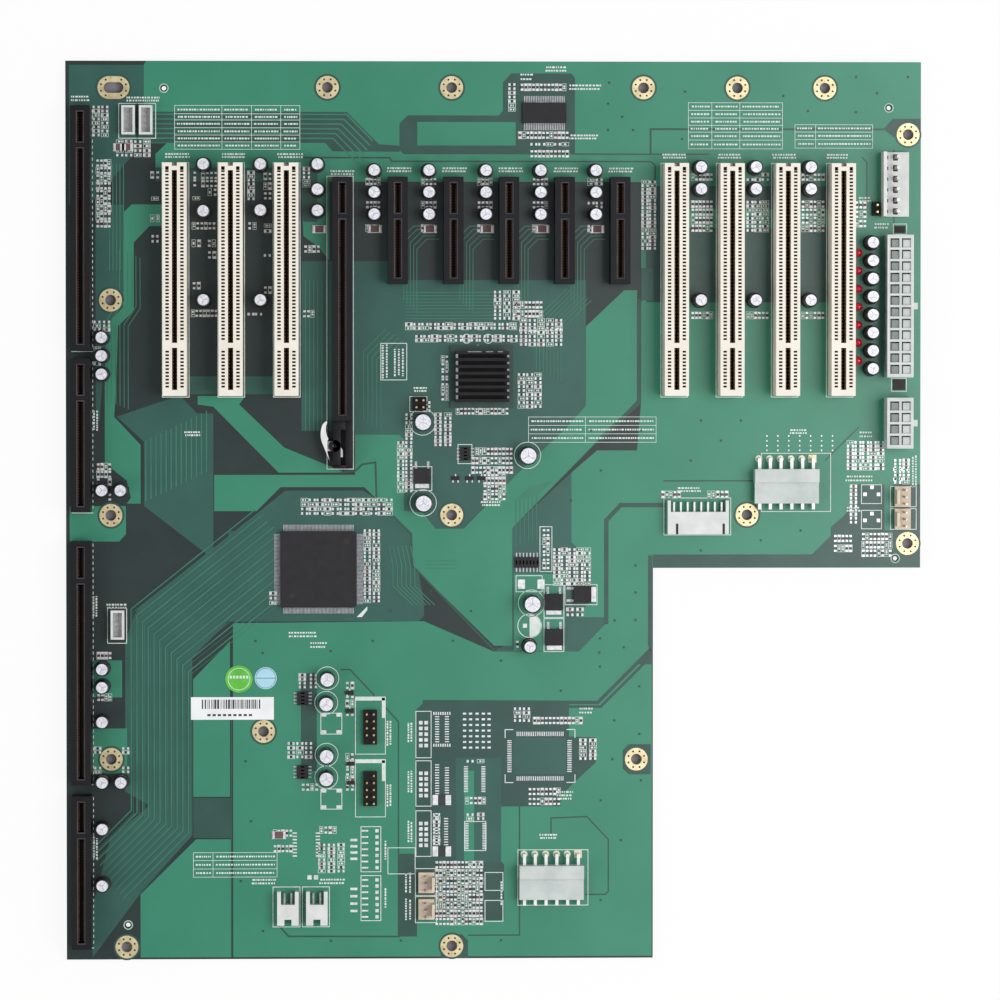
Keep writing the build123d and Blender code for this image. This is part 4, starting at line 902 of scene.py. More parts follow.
def lamps():
    bm = bmesh.new()
    stamp(bm, template(lamp), [(LAMP_X, LAMP_Y - LAMP_PITCH * i) for i in range(LAMP_COUNT)])
    piece("status_lamp_lenses", bm, ["lamp_resin"], ["status_lamps"])


capacitors()
lamps()

# Headers, chips, the sink and its pad whose CAD shape is the real one, with their own finishes

DRESSED = {
    "natural_nylon": (
        "main_power_housing", "processor_power_housing", "disk_power_right_housing",
        "disk_power_lower_housing",
    ),
    "white_nylon": (
        "aux_power_housing", "signal_header_housing", "wafer_housings", "switch_header_housings",
    ),
    "beige_nylon": ("fan_header_housings",),
    "black_nylon": ("port_header_bases", "jumper_bases"),
    "pin_gold": ("port_header_pins", "jumper_pins"),
    "pin_tin": (
        "main_power_pins", "processor_power_pins", "aux_power_pins", "wafer_pins", "switch_header_pins",
        "fan_header_pins",
    ),
    "pin_tin_and_highlight": ("disk_power_right_pins", "disk_power_lower_pins", "signal_header_pins"),
    "chip_carrier": ("bridge_chip",),
    "pad_silicone": ("thermal_pad",),
    "sink_anodised": ("heat_sink",),
    "chip_epoxy": ("quad_flat_chip", "shrink_chip", "small_outline_chips", "power_transistors"),
    "fuse_body": ("surface_fuses",),
}
for finish_name, dressed_nodes in DRESSED.items():
    for dressed_node in dressed_nodes:
        dress(dressed_node, finish_name)

# Legend, pads and small parts. Areas are x, y, x, y of two corners in the plane of the board.

LINE = 0.26
HAIR = 0.17
DASH_HEIGHT = 0.62
DASH_PITCH = 1.45

# Printed rectangles round connectors, places for parts and groups
PRINTED_BOXES = (
    (-28.8, -73.7, -23.2, -90.8), (-28.8, -91.9, -23.2, -108.6), (-28.8, -110.3, -23.2, -127.1),
    (-49, -116.1, -41.7, -132.7), (-49, -134.1, -41.7, -150.7), (135.2, 9.4, 142.6, 2.5),
    (135.2, 0, 142.6, -6.8), (-3.4, -133.1, 3.2, -139.7), (-3.4, -143.4, 3.2, -151.1),
    (18.3, -27.2, 25.6, -39.3), (26, -27.2, 37.8, -34.6), (18.3, -39.7, 25.6, -51.8),
    (-41.6, 61.4, -32.1, 48), (16.8, -5.9, 21.2, -22.4), (-39.1, -123.9, -29.1, -133.5),
    (-10.9, -114.3, -3.1, -125), (-51, -68.4, -40, -89.4), (-51, -91.4, -40, -112.5),
    (8, -23.9, 17.6, -29.8), (-29.9, 16.2, -22.9, 7.4), (-31, 41.9, -24.7, 36.4), (-63.7, -74.3, -56, -82),
    (-63.7, -102.2, -56, -109.6), (-137.4, 149.1, -130.7, 136.4), (-130.7, 149.1, -123.9, 136.4),
    (-141.8, -35.7, -134.8, -48.5), (-13.3, 24.3, -8.2, 17.3), (146.8, 105.3, 151.7, 101.5),
    (146.2, 48.5, 151.7, 43.8), (-81.3, -138.2, -71.4, -152.9), (-70.5, -138.2, -60.6, -152.9),
    (-29, -131.6, -21.2, -141.5), (-29, -141.9, -21.2, -151.5), (145.9, 8.8, 155.4, 1.3),
    (145.9, 0.6, 155.4, -7), (8.7, -124.8, 34.5, -145.2), (98.3, 21, 123.8, -0.4), (62.4, 4.6, 87, -9),
    (-6.3, 60.7, -5.6, 59.9),
)

# Thick printed marks of the two port headers and the corner marks of the bare chip place
PRINTED_RUNS = (
    (1.2, ((-50.5, -69.1), (-40.5, -69.1))), (1.2, ((-40.7, -69.1), (-40.7, -75.7))),
    (1.2, ((-50.5, -92.1), (-40.5, -92.1))), (1.2, ((-40.7, -92.1), (-40.7, -98.9))),
    (0.3, ((4, -83.5), (4, -80.5), (6.9, -80.5))), (0.3, ((26.7, -80.5), (29.7, -80.5), (29.7, -83.5))),
    (0.3, ((4, -97.1), (4, -100), (6.9, -100))), (0.3, ((26.7, -100), (29.7, -100), (29.7, -97.1))),
)

# Printed tables: column lines and row lines
TABLES = (
    ((-117, -99.7, -88.9, -78.2, -71.2), (148.4, 145.4, 143.1, 140.3, 137.6, 135.1, 132.4)),
    ((71.3, 79.9, 90.2, 105.9), (149.7, 146.9, 144.1, 141.4, 138.9, 136, 132.8)),
    ((110.5, 118.1, 139.1), (141.7, 139, 136.2, 133.1)),
    ((12.6, 33.5, 59.5), (34.4, 31.3, 28.2, 25.1)),
    ((-110.5, -103.3, -79.8), (-125.5, -128.4, -131.5, -134.5)),
)

# Where the board carries lettering: these places get rows of plain dashes
DASHED = (
    (-155.2, 152.2, -147.9, 149.6), (-134.7, 151.8, -122.5, 149.6), (-120.7, 131.2, -111.5, 129),
    (-100.1, 131.2, -91.3, 129), (-79.5, 131.2, -69.9, 129), (-60.4, 125, -51.2, 122.8),
    (-39.4, 126.1, -30.2, 123.9), (-19.2, 126.1, -10, 123.9), (1.4, 126.1, 10.6, 123.9),
    (21.6, 126.1, 30.8, 123.9), (41.8, 126.1, 51, 123.9), (61.7, 131.2, 70.9, 129),
    (81.9, 131.2, 90.7, 129), (102.1, 131.2, 110.9, 129), (122, 131.2, 130.4, 129),
    (-29.9, 45.6, -24.7, 43.4), (-147.2, 36.8, -144.9, 29.4), (-147.5, -31.2, -145.3, -39),
    (-142.4, -33.8, -134.3, -36), (-147.5, -119.5, -145.3, -127.9), (-67.7, -47.8, -61.5, -50.7),
    (-39.8, -77.2, -37.6, -86.4), (-39.8, -100, -37.6, -108.8), (-32.1, -77.9, -29.9, -85.3),
    (-32.1, -95.6, -29.9, -103.7), (-32.1, -114, -29.9, -122.1), (-40.9, -121.3, -39.1, -128.7),
    (-40.9, -138.2, -39.1, -146.3), (-33.2, -133.1, -30.2, -140.8), (-33.2, -142.6, -30.2, -150.7),
    (-89.4, -134.9, -80.2, -137.5), (-64.4, -134.9, -54.9, -137.5), (-10, -129.4, -4.1, -131.6),
    (1.7, -136, 3.6, -145.2), (67.2, 8.8, 76, 6.6), (108.4, 30.1, 115, 27.9), (16.5, -118.7, 23.1, -121),
    (134.1, 29.4, 139.2, 26.5), (129.3, 13.2, 139.2, 10.3), (129.3, 1.5, 134.8, -0.7),
    (153.6, 20.2, 155.8, 8.1), (139.6, 105.9, 145.1, 103.3), (134.1, 115.4, 138.5, 113.2),
    (-113.7, 29.4, -107.8, 27.2), (27.5, 156.6, 39.2, 154), (18.7, 163.2, 26.4, 160.7),
    (9.5, 160.7, 14.2, 157.4), (27.5, 138.2, 38.1, 136), (30.8, -72.1, 36.3, -75),
    (22.7, -102.9, 29, -106.6), (-41.6, 61, -38.7, 48.5), (-37.2, 59.9, -32.8, 49.3), (-4.9, 3.7, 2.5, 1.5),
    (-75.5, -44.1, -65.2, -46.7),
)

# Crowded areas, filled with small parts on a grid: upper left and lower right corner
CROWDS = (
    (4.3, 157, 8.7, 146.3), (9.5, 156.6, 26.4, 153.9), (13.1, 135.7, 27.5, 133.1),
    (13.1, 132.4, 27.5, 129.4), (8.7, 139, 27.5, 136.4), (-147.2, 148.5, -140.9, 136.8),
    (-138.7, 136, -125.5, 129.4), (-147.2, 128.7, -140.2, 103.7), (-110.8, 124.3, -108.5, 118.7),
    (-107.4, 124.3, -101.2, 118.4), (-105.2, 117.6, -101.2, 115.8), (-110.8, 115.4, -107.4, 113.6),
    (-110.8, 105.5, -101.9, 103.3), (-111.1, 99.3, -107.1, 96.7), (-105.2, 99.3, -101.9, 96.7),
    (-105.2, 94.9, -101.6, 92.6), (-110.8, 83.8, -107.4, 81.2), (-111.1, 73.5, -101.2, 71.3),
    (-90.5, 124.6, -87.6, 113.6), (-84.7, 124.3, -81.3, 113.6), (-90.5, 105.5, -86.9, 103.3),
    (-84.7, 105.5, -81.3, 101.5), (-85, 94.9, -81.3, 92.3), (-84.7, 82, -81.3, 79.8),
    (-90.5, 73.2, -85, 71), (-69.9, 126.1, -67.7, 118.4), (-69.9, 96.7, -63.7, 95.2),
    (-70.3, 73.5, -65.9, 71), (-126.2, 123.9, -122.2, 122.1), (-126.2, 115.1, -122.2, 113.6),
    (-126.2, 108.1, -122.2, 106.2), (-126.2, 101.5, -122.2, 97.8), (-32.8, 69.1, 8.4, 66.3),
    (-29.1, 64.7, 8.7, 61.8), (-0.5, 80.9, 9.8, 69.9), (5.4, 50.7, 17.6, 37.5), (-14.1, 37.9, 5.4, 35.3),
    (-19.6, 57, -15.2, 40.4), (21.6, -13.6, 35.6, -27.6), (17.6, -6.6, 20.5, -21.7),
    (26, -35.3, 33.4, -39.3), (7.3, -46.7, 9.8, -51.5), (-21.8, -128.7, -4.1, -152.6),
    (129.7, 9.6, 134.8, -5.1), (124.9, -8.5, 131.9, -15.8), (135.2, -8.1, 146.6, -17.3),
    (-71, 4.8, -37.2, -1.8), (-48.3, -6.6, -41.6, -33.8), (-83.5, -29.4, -78.8, -34.6),
    (-72.5, -59.6, -64.4, -65.4), (-76.2, -84.6, -66.6, -91.2), (-71, -99.3, -64.4, -103.7),
    (-81.3, -116.2, -74, -120.6), (-81.3, -123.2, -74, -125), (-64.4, -114.7, -57.8, -119.9),
    (-65.2, -122.1, -54.5, -133.1), (-54.9, -62.5, -51.2, -75.7), (-54.9, -89, -51.2, -102.9),
    (-33.5, 36, -29.1, 25.7), (-35.8, 25.7, -29.9, 6.6), (-22.5, 36, -15.2, 23.5), (-8.5, 23.5, 6.9, 13.2),
    (-4.1, 15.4, 4.3, 3.7), (6.9, 77.2, 17.9, 70.6), (9.1, 70.6, 25.3, 60.3), (-22.5, -111, -19.9, -123.2),
    (-10.8, -90.8, -3, -93.4), (-10.8, -105.5, -3, -107.7), (-10.8, -111, -3, -114),
    (6.9, -72.1, 13.5, -77.9), (14.2, -76.1, 32.6, -78.3), (30.8, -83.8, 38.1, -91.9),
    (12.4, -101.5, 24.5, -108.8), (54, 121.3, 59.5, 95.6), (72.3, 124.3, 80.4, 120.6),
    (72.3, 114, 80.4, 102.2), (92.6, 124.3, 101, 120.6), (92.6, 114, 101, 102.2),
    (112.8, 124.3, 121.6, 120.6), (112.8, 114, 121.6, 102.2), (72.3, 73.5, 80.4, 69.9),
    (92.6, 73.5, 101, 69.9), (112.8, 73.5, 121.6, 69.9), (-47.2, 122.1, -41.6, 102.2),
    (-26.9, 122.1, -21, 102.2), (-6.3, 122.1, -0.5, 102.2), (13.9, 122.1, 19.8, 102.2),
    (34.1, 122.1, 40, 102.2), (-147.2, 69.9, -140.2, 47.8), (-147.2, 17.6, -140.2, 3.7),
    (-147.2, -51.5, -140.2, -69.9), (-147.2, -86.4, -133.5, -99.3), (129.7, 114, 137, 103.7),
    (129.7, 25.7, 143.7, 14.7), (147, 19.1, 153.2, 9.6), (-26.9, 40.4, -22.5, 36), (61.3, 8.1, 68.7, 3.7),
    (78.2, 8.1, 86.3, 3.7),
)

# Rows of bare pads: x, y, x, y of the two ends, the count, and the size of a pad in mm
PAD_ROWS = (
    (-27, -77.9, -27, -86.3, 5, 1.3, 1.3), (-25, -77.9, -25, -86.3, 5, 1.3, 1.3),
    (-27, -96.5, -27, -104.7, 5, 1.3, 1.3), (-25, -96.5, -25, -104.7, 5, 1.3, 1.3),
    (-27, -115, -27, -123, 5, 1.3, 1.3), (-25, -115, -25, -123, 5, 1.3, 1.3),
    (-22.2, -74.5, -16.3, -74.5, 8, 0.45, 1.1), (-22.2, -86.2, -16.3, -86.2, 8, 0.45, 1.1),
    (-21, -75.7, -21, -84.9, 11, 1.5, 0.4), (-17.4, -75.7, -17.4, -84.9, 11, 1.5, 0.4),
    (-21, -93.4, -21, -104, 12, 1.5, 0.4), (-17.4, -94.5, -17.4, -103.7, 11, 1.5, 0.4),
    (-21.2, -111.4, -21.2, -122.8, 12, 1.5, 0.4), (-17.7, -113.2, -17.7, -122.8, 11, 1.5, 0.4),
    (-10.9, -74.6, -10.9, -87.1, 7, 1.2, 0.7), (-8.7, -74.6, -8.7, -87.1, 7, 1.2, 0.7),
    (-6.3, -74.6, -6.3, -87.1, 7, 1.2, 0.7), (-4, -74.6, -4, -87.1, 7, 1.2, 0.7),
    (-1.9, -74.6, -1.9, -87.1, 7, 1.2, 0.7), (-10.4, -94.1, -10.4, -103.3, 16, 1.5, 0.32),
    (-4, -94.1, -4, -103.3, 16, 1.5, 0.32), (-10.2, -115.1, -10.2, -124.3, 16, 1.5, 0.32),
    (-3.6, -115.1, -3.6, -124.3, 16, 1.5, 0.32), (8.4, -82.1, 25.3, -82.1, 26, 0.3, 1.6),
    (8.4, -98.5, 25.3, -98.5, 26, 0.3, 1.6), (5.6, -84.6, 5.6, -96, 18, 1.6, 0.3),
    (27.7, -84.6, 27.7, -96, 18, 1.6, 0.3), (-47.5, -117.6, -47.5, -131.2, 7, 2.4, 0.6),
    (-43.1, -117.6, -43.1, -131.2, 7, 1.2, 1.2), (-47.5, -135.7, -47.5, -149.3, 7, 2.4, 0.6),
    (-43.1, -135.7, -43.1, -149.3, 7, 1.2, 1.2), (10, -27, 17.2, -27, 2, 2.6, 3.4),
    (11.3, -42.3, 14.8, -42.3, 2, 1.5, 1.5), (-67.9, -134.7, -65.5, -134.7, 2, 1.6, 1.6),
    (136.5, 5.9, 141.5, 5.9, 2, 1.3, 1.3), (136.5, -3.7, 141.5, -3.7, 2, 1.3, 1.3),
    (139.1, 8.5, 139.1, -1.2, 2, 1.3, 1.3), (147.5, 15.1, 152.4, 15.1, 3, 1.2, 1.2),
    (147.5, 11.4, 152.4, 11.4, 3, 1.2, 1.2), (-73.3, -118.4, -73.3, -126.8, 8, 1.6, 0.5),
    (-64.8, -118.4, -64.8, -126.8, 8, 1.6, 0.5), (9.8, 66.2, 15, 66.2, 4, 1.2, 1.2),
    (19.4, 66.2, 24.5, 66.2, 4, 1.2, 1.2), (-62.6, -75, -57.1, -75, 2, 1.8, 1.2),
    (-62.6, -81.2, -57.1, -81.2, 2, 1.8, 1.2), (-62.6, -102.9, -57.1, -102.9, 2, 1.8, 1.2),
    (-62.6, -108.8, -57.1, -108.8, 2, 1.8, 1.2), (-51.6, -121, -51.6, -127.9, 4, 2.6, 0.9),
    (-51.6, -139, -51.6, -147.1, 4, 2.6, 0.9), (100.3, 27.4, 124.5, 27.4, 7, 0.5, 0.5),
    (100.3, 25.6, 124.5, 25.6, 7, 0.5, 0.5), (100.3, 23.8, 124.5, 23.8, 7, 0.5, 0.5),
    (100.3, 22.1, 124.5, 22.1, 7, 0.5, 0.5),
)

# Larger parts with their own place: centre and size in plan, in mm
BROWN_CHIPS = (
    (-43.8, 103.3), (-23.6, 103.3), (-2.7, 103.3), (17.6, 103.3), (37.8, 103.3), (-64.1, 103.2),
    (-136.9, 133.1), (-134.7, 133.1), (-79.1, -119.1),
)
SMALL_TRANSISTORS = (
    (-14.2, 11.9), (-9, 11.9), (-4.6, 11.9), (-53.1, -66.8), (-53.1, -73.4), (-52.8, -92.9), (-52.8, -99.9),
)
VIAS = (
    (52, -20.2), (52, -30.1), (44.3, -40.4), (52, -40.3), (38.9, -47), (47.7, -50.3), (38.7, -52.2),
    (38.9, -57.4), (53.4, -64.7), (44.2, -77.2), (53.4, -82.2), (43.5, -91.5), (42.2, 157), (70.1, 153.7),
    (41.8, 149.3), (47, 144.5), (41.8, 139.7), (51, 139.7), (69, 136.4), (106.2, 152.2), (133, 159.2),
    (152.1, 159.2), (140.7, 153.3), (115.3, 146.7), (133, 146.3), (-87.6, -47.8), (-85, -52.2),
    (-44.6, -47.8), (-38, -36.8), (-23.3, -29.4), (-15.2, -47.8), (-8.5, -36.8), (2.5, -55.1),
    (24.5, -66.2), (-60, -51.5), (-91.3, -91.9), (-89.4, -114), (-93.1, -136), (-85, -154.4), (-60, -158.1),
    (-34.3, -158.1), (2.5, -158.1), (39.2, -143.4), (46.6, -121.3), (39.2, -106.6), (54, -99.3), (76, 33.1),
    (83.4, 25.7), (90.7, 33.1), (72.3, 18.4), (98.1, -11), (112.8, -7.4), (76, -14.7), (134.8, -11),
    (54, 29.4), (39.2, 14.7), (28.2, 3.7), (35.6, 29.4), (54, 77.2),
)
HOLE_RINGS = ((-10.1, 63.1), (-2.2, 63.1))
TALL_NODES = (
    "quad_flat_chip", "shrink_chip", "bridge_chip", "aux_power_housing", "main_power_housing",
    "processor_power_housing", "disk_power_right_housing", "disk_power_lower_housing",
    "signal_header_housing",
)
UNFITTED_CAN = (13, -42.3)
UNFITTED_HALF = (
    (13, -37.9), (14.6, -38.2), (16.1, -39.3), (17.1, -40.8), (17.3, -42.3), (17.1, -43.8), (16.1, -45.2),
    (14.6, -46.3), (13, -46.6),
)
SO14_CENTRE = (12.0, -19.0)
SO8_CENTRES = ((-10.6, 20.9), (-70.3, -68.8), (-70.4, -95.9))
PIN_ONE_MARK = ((-50.5, -39), (-46.6, -35.1), (-46.6, -36.4), (-48.6, -39))
# How far small parts keep from the middle of each kind of round place
HOLE_REACH, SLOT_REACH, TOOLING_REACH, CAN_REACH, LARGE_REACH = 5.6, 7.6, 2.4, 3.3, 4.4
SO8_REACH, SO14_REACH = 3.4, 5.0
# Grid steps of small parts across and along them, the share of each kind, and the frames round them
SMALL_STEPS = (1.35, 2.75)
KINDS = {"resistor": 32, "capacitor": 16, "pads": 26, "print": 26}
DASH_PLACE = (0.6, 2.0)
FRAME_SIZE = (1.25, 2.6)
FRAME_LINE = 0.14


def legend(seed=11):
    """The white print: outlines, tables and rows of plain dashes where the real board has lettering."""
    rng = random.Random(seed)
    bm = bmesh.new()
    for x0, y0, x1, y1 in PRINTED_BOXES:
        printed_box(bm, x0, y0, x1, y1, LINE)
    for columns, rows in TABLES:
        for x in columns:
            bar(bm, (x, rows[0]), (x, rows[-1]), HAIR, TOP, LEGEND)
        for y in rows:
            bar(bm, (columns[0], y), (columns[-1], y), HAIR, TOP, LEGEND + LIFT)
        for left, right in zip(columns, columns[1:]):
            for upper, lower in zip(rows, rows[1:]):
                dashes(bm, left + 0.8, lower + 0.8, right - 0.8, upper - 0.8, rng)
    for x0, y0, x1, y1 in DASHED:
        dashes(bm, x0, y1, x1, y0, rng)
    for node in PCI_NODES + SERIAL_NODES[:1]:
        low, high = corners(node)
        printed_box(bm, low.x - 0.5, high.y + 0.5, high.x + 0.5, low.y - 0.5, LINE)
    for node in HOST_NODES:
        low, high = corners(node)
        for y in spread(int((high.y - low.y) / 2.2), 2.2, (low.y + high.y) / 2):
            block_at(bm, high.x + 0.45, y, LINE, 1.1, TOP, LEGEND)
        bar(bm, (low.x, low.y - 0.5), (high.x + 0.5, low.y - 0.5), LINE, TOP, LEGEND)
    for width, points in PRINTED_RUNS:
        run(bm, points, width, TOP, LEGEND)
    plate(bm, UNFITTED_HALF, TOP, LEGEND)
    for x, y in LARGE_PLACES:
        ring(bm, x, y, 4.75, 5.0, TOP, LEGEND)
    for x, y in MEDIUM_PLACES:
        ring(bm, x, y, 4.1, 4.35, TOP, LEGEND)
    ring(bm, *UNFITTED_CAN, 4.2, 4.5, TOP, LEGEND)
    for x, y in HOLE_RINGS:
        ring(bm, x, y, 1.5, 1.8, TOP, LEGEND)
    plate(bm, PIN_ONE_MARK, TOP, LEGEND)
    piece("board_legend", bm, ["legend_ink"])
    # Dark rings round the small cans: painted shadow on the board
    bm = bmesh.new()
    for x, rows in CAN_COLUMNS:
        for y in rows:
            ring(bm, x, y, 2.2, 2.95, TOP, LEGEND, sides=20)
    piece("can_shadows", bm, ["black_ink_and_painted_shadow"])


def printed_box(bm, x0, y0, x1, y1, width):
    run(bm, [(x0, y0), (x1, y0), (x1, y1), (x0, y1), (x0, y0)], width, TOP, LEGEND)


def dashes(bm, x0, y0, x1, y1, rng):
    """Rows of short plain dashes, running the long way of the place."""
    upright = y1 - y0 > x1 - x0
    across, along = (x1 - x0, y1 - y0) if upright else (y1 - y0, x1 - x0)
    rows = max(1, round(across / DASH_PITCH))
    for row in range(rows):
        level = (row + 0.5) * across / rows
        at = rng.uniform(0.0, 0.6)
        while at < along - 0.3:
            length = min(rng.uniform(0.35, 1.0), along - at)
            middle = at + length / 2
            if upright:
                block_at(bm, x0 + level, y0 + middle, DASH_HEIGHT, length, TOP, LEGEND)
            else:
                block_at(bm, x0 + middle, y0 + level, length, DASH_HEIGHT, TOP, LEGEND)
            at += length + rng.uniform(0.2, 0.45)


def keep_clear():
    """Round places and node boxes that small parts keep away from."""
    cans = [(x, y) for x, rows in CAN_COLUMNS for y in rows]
    groups = (
        (HOLES, HOLE_REACH), ((SLOT_PAD[:2],), SLOT_REACH), (TOOLING, TOOLING_REACH), (cans, CAN_REACH),
        (MEDIUM_PLACES + LARGE_PLACES + (UNFITTED_CAN,), LARGE_REACH), (SO8_CENTRES, SO8_REACH),
        ((SO14_CENTRE,), SO14_REACH),
    )
    rounds = [(*place, reach) for places, reach in groups for place in places]
    boxes = [corners(node) for node in PCI_NODES + SERIAL_NODES + HOST_NODES + list(TALL_NODES)]
    return rounds, boxes


def open_place(x, y, rounds, boxes):
    if any(math.hypot(x - cx, y - cy) < reach for cx, cy, reach in rounds):
        return False
    return not any(low.x - 1 < x < high.x + 1 and low.y - 1 < y < high.y + 1 for low, high in boxes)


def small_part(body, length, width, height):
    """A two-ended part on its pads; body 0 leaves bare pads."""
    def build(bm):
        for hand in (-1, 1):
            block_at(bm, hand * (length / 2 + 0.1), 0, 0.75, width + 0.15, TOP, PAD, 0)
            if body:
                block_at(bm, hand * (length / 2 - 0.15), 0, 0.34, width, TOP, TOP + height, 0)
        if body:
            block_at(bm, 0, 0, length - 0.5, width - 0.02, TOP + 0.02, TOP + height - 0.02, body)
    return template(build)


def crowd_places(rng):
    """Grid places for the crowded areas, each with the kind of part that stands there."""
    places = {kind: [] for kind in KINDS}
    rounds, boxes = keep_clear()
    for left, high, right, low in CROWDS:
        upright = rng.random() < 0.5
        step_x, step_y = SMALL_STEPS if upright else SMALL_STEPS[::-1]
        columns, rows = max(1, int((right - left) / step_x)), max(1, int((high - low) / step_y))
        for i in range(columns):
            for j in range(rows):
                x = left + (i + 0.5) * (right - left) / columns
                y = low + (j + 0.5) * (high - low) / rows
                kind = rng.choices(tuple(KINDS), tuple(KINDS.values()))[0]
                if open_place(x, y, rounds, boxes):
                    places[kind].append((x, y, math.pi / 2 if upright else 0.0))
    return places


def small_parts(seed=23):
    rng = random.Random(seed)
    places = crowd_places(rng)
    bm = bmesh.new()
    stamp(bm, small_part(1, 1.6, 0.8, 0.45), places["resistor"])
    stamp(bm, small_part(2, 1.6, 0.85, 0.8), places["capacitor"])
    stamp(bm, small_part(0, 1.6, 0.8, 0.1), places["pads"])
    piece("surface_parts", bm, ["solder", "resistor_body", "ceramic_body"])
    bm = bmesh.new()
    for x, y, turn in places["print"]:
        across, along = DASH_PLACE if turn else DASH_PLACE[::-1]
        dashes(bm, x - across / 2, y - along / 2, x + across / 2, y + along / 2, rng)
    for x, y, turn in places["resistor"][::2] + places["capacitor"][::2] + places["print"]:
        across, along = FRAME_SIZE if turn else FRAME_SIZE[::-1]
        printed_box(bm, x - across / 2, y - along / 2, x + across / 2, y + along / 2, FRAME_LINE)
    piece("part_legend", bm, ["legend_ink"])


def bare_pads():
    bm = bmesh.new()
    for x0, y0, x1, y1, count, size_x, size_y in PAD_ROWS:
        for i in range(count):
            share = i / (count - 1)
            block_at(bm, x0 + (x1 - x0) * share, y0 + (y1 - y0) * share, size_x, size_y, TOP, PAD)
    piece("bare_pads", bm, ["solder"])
    bm = bmesh.new()
    for x, y in VIAS:
        disc(bm, x, y, 0.45, TOP, LEGEND, 0, 10)
    piece("tented_vias", bm, ["via_dimple"])


legend()
small_parts()
bare_pads()

# Leads of the chips: count, pitch, reach and width of a row in mm
QUAD_ROW = (52, 0.5, 2.3, 0.26)
SHRINK_ROW = (24, 0.635, 2.5, 0.32)
SO14_ROW = (7, 1.27, 3.55, 0.5)
SO8_ROWS = ((4, 1.27, 3.15, 0.5), (4, 1.27, 3.3, 0.5), (4, 1.27, 3.3, 0.5))
TRANSISTOR_ROW = (2, 4.5, 2.6, 0.9)
TRANSISTOR_LEADS = ((21.9, -30.6, 0.0), (29.2, -30.8, math.pi / 2), (22.1, -43.5, 0.0), (-26.5, 15.5, 0.0))
# Tabs: centre and size in plan
TABS = ((21.9, -37.2, 5.4, 2.0), (36.4, -30.8, 2.0, 5.4), (22.1, -50.2, 5.4, 2.0), (-26.5, 9.3, 5.0, 2.0))
FUSE_CENTRES = ((-19.3, -106.3), (-19.3, -125.2))
QUAD_DIMPLES = ((-54.3, -11.1), (-74.2, -31.1))


def lead_row(bm, x, y, count, pitch, reach, width, turn):
    """Gull-wing leads side by side: a foot on its pad and a short shank up to the body."""
    near = reach * 0.2
    for shift in spread(count, pitch, 0):
        for start, end, low, high in ((near, reach, 0.0, 0.22), (-0.3, near, 0.15, 1.5)):
            span = (start + end) / 2
            dx = shift * math.cos(turn) - span * math.sin(turn)
            dy = shift * math.sin(turn) + span * math.cos(turn)
            block_at(bm, x + dx, y + dy, width, end - start, TOP + low, TOP + high, 0, turn)


def chip_leads():
    bm = bmesh.new()
    low, high = corners("quad_flat_chip")
    centre, half = (low + high) / 2, (high.x - low.x) / 2
    for i in range(4):
        turn = i * math.pi / 2
        x, y = centre.x - half * math.sin(turn), centre.y + half * math.cos(turn)
        lead_row(bm, x, y, *QUAD_ROW, turn)
    low, high = corners("shrink_chip")
    centre, half = (low + high) / 2, (high.y - low.y) / 2
    for turn in (0.0, math.pi):
        lead_row(bm, centre.x, centre.y + half * math.cos(turn), *SHRINK_ROW, turn)
        lead_row(bm, *SO14_CENTRE, *SO14_ROW, turn)
        for place, row in zip(SO8_CENTRES, SO8_ROWS):
            lead_row(bm, *place, *row, turn + math.pi / 2)
    for x, y, turn in TRANSISTOR_LEADS:
        lead_row(bm, x, y, *TRANSISTOR_ROW, turn)
    piece("chip_leads", bm, ["lead_tin"])


def chip_trim():
    """Tinned tabs, fuse ends, moulded dimples and the small brown chips with their metal ends."""
    bm = bmesh.new()
    for x, y, size_x, size_y in TABS:
        block_at(bm, x, y, size_x + 0.1, size_y, TOP, TOP + 0.58)
    for x, y in FUSE_CENTRES:
        for hand in (-1, 1):
            block_at(bm, x + hand * 2.4, y, 2.0, 3.7, TOP, TOP + 1.06)
    for x, y in BROWN_CHIPS:
        block_at(bm, x, y, 5.2, 2.9, TOP, PAD, 0)
        block_at(bm, x, y, 3.2, 2.4, TOP + 0.02, TOP + 1.4, 1)
        for hand in (-1, 1):
            block_at(bm, x + hand * 1.85, y, 0.6, 2.4, TOP, TOP + 1.42, 0)
    for x, y in SMALL_TRANSISTORS:
        block_at(bm, x, y, 2.9, 1.4, TOP + 0.1, TOP + 1.1, 2)
        for dx, dy in ((-0.95, -1.1), (0.95, -1.1), (0, 1.1)):
            block_at(bm, x + dx, y + dy, 0.5, 0.9, TOP, TOP + 0.3, 0)
    piece("tabs_and_small_chips", bm, ["solder", "ceramic_body", "chip_epoxy"])
    bm = bmesh.new()
    top = corners("quad_flat_chip")[1].z
    for x, y in QUAD_DIMPLES:
        disc(bm, x, y, 1.1, top - 0.1, top + 0.02, 0, 20)
    piece("quad_dimples", bm, ["slot_shadow"])


chip_leads()
chip_trim()

# Labels on top of the print: the stickers' centres and radii, the widths and gaps of the bars
GREEN_CENTRE, GREEN_RADIUS = (-93.7, -61.7), 5.0
BLUE_CENTRE, BLUE_RADIUS = (-83.9, -61.4), 4.05
BAR_WIDTHS, BAR_GAPS = (0.25, 0.25, 0.5, 0.75), (0.3, 0.3, 0.55)
LABEL_DASHES, LABEL_DASH, LABEL_DASH_PITCH = 9, 1.2, 1.9


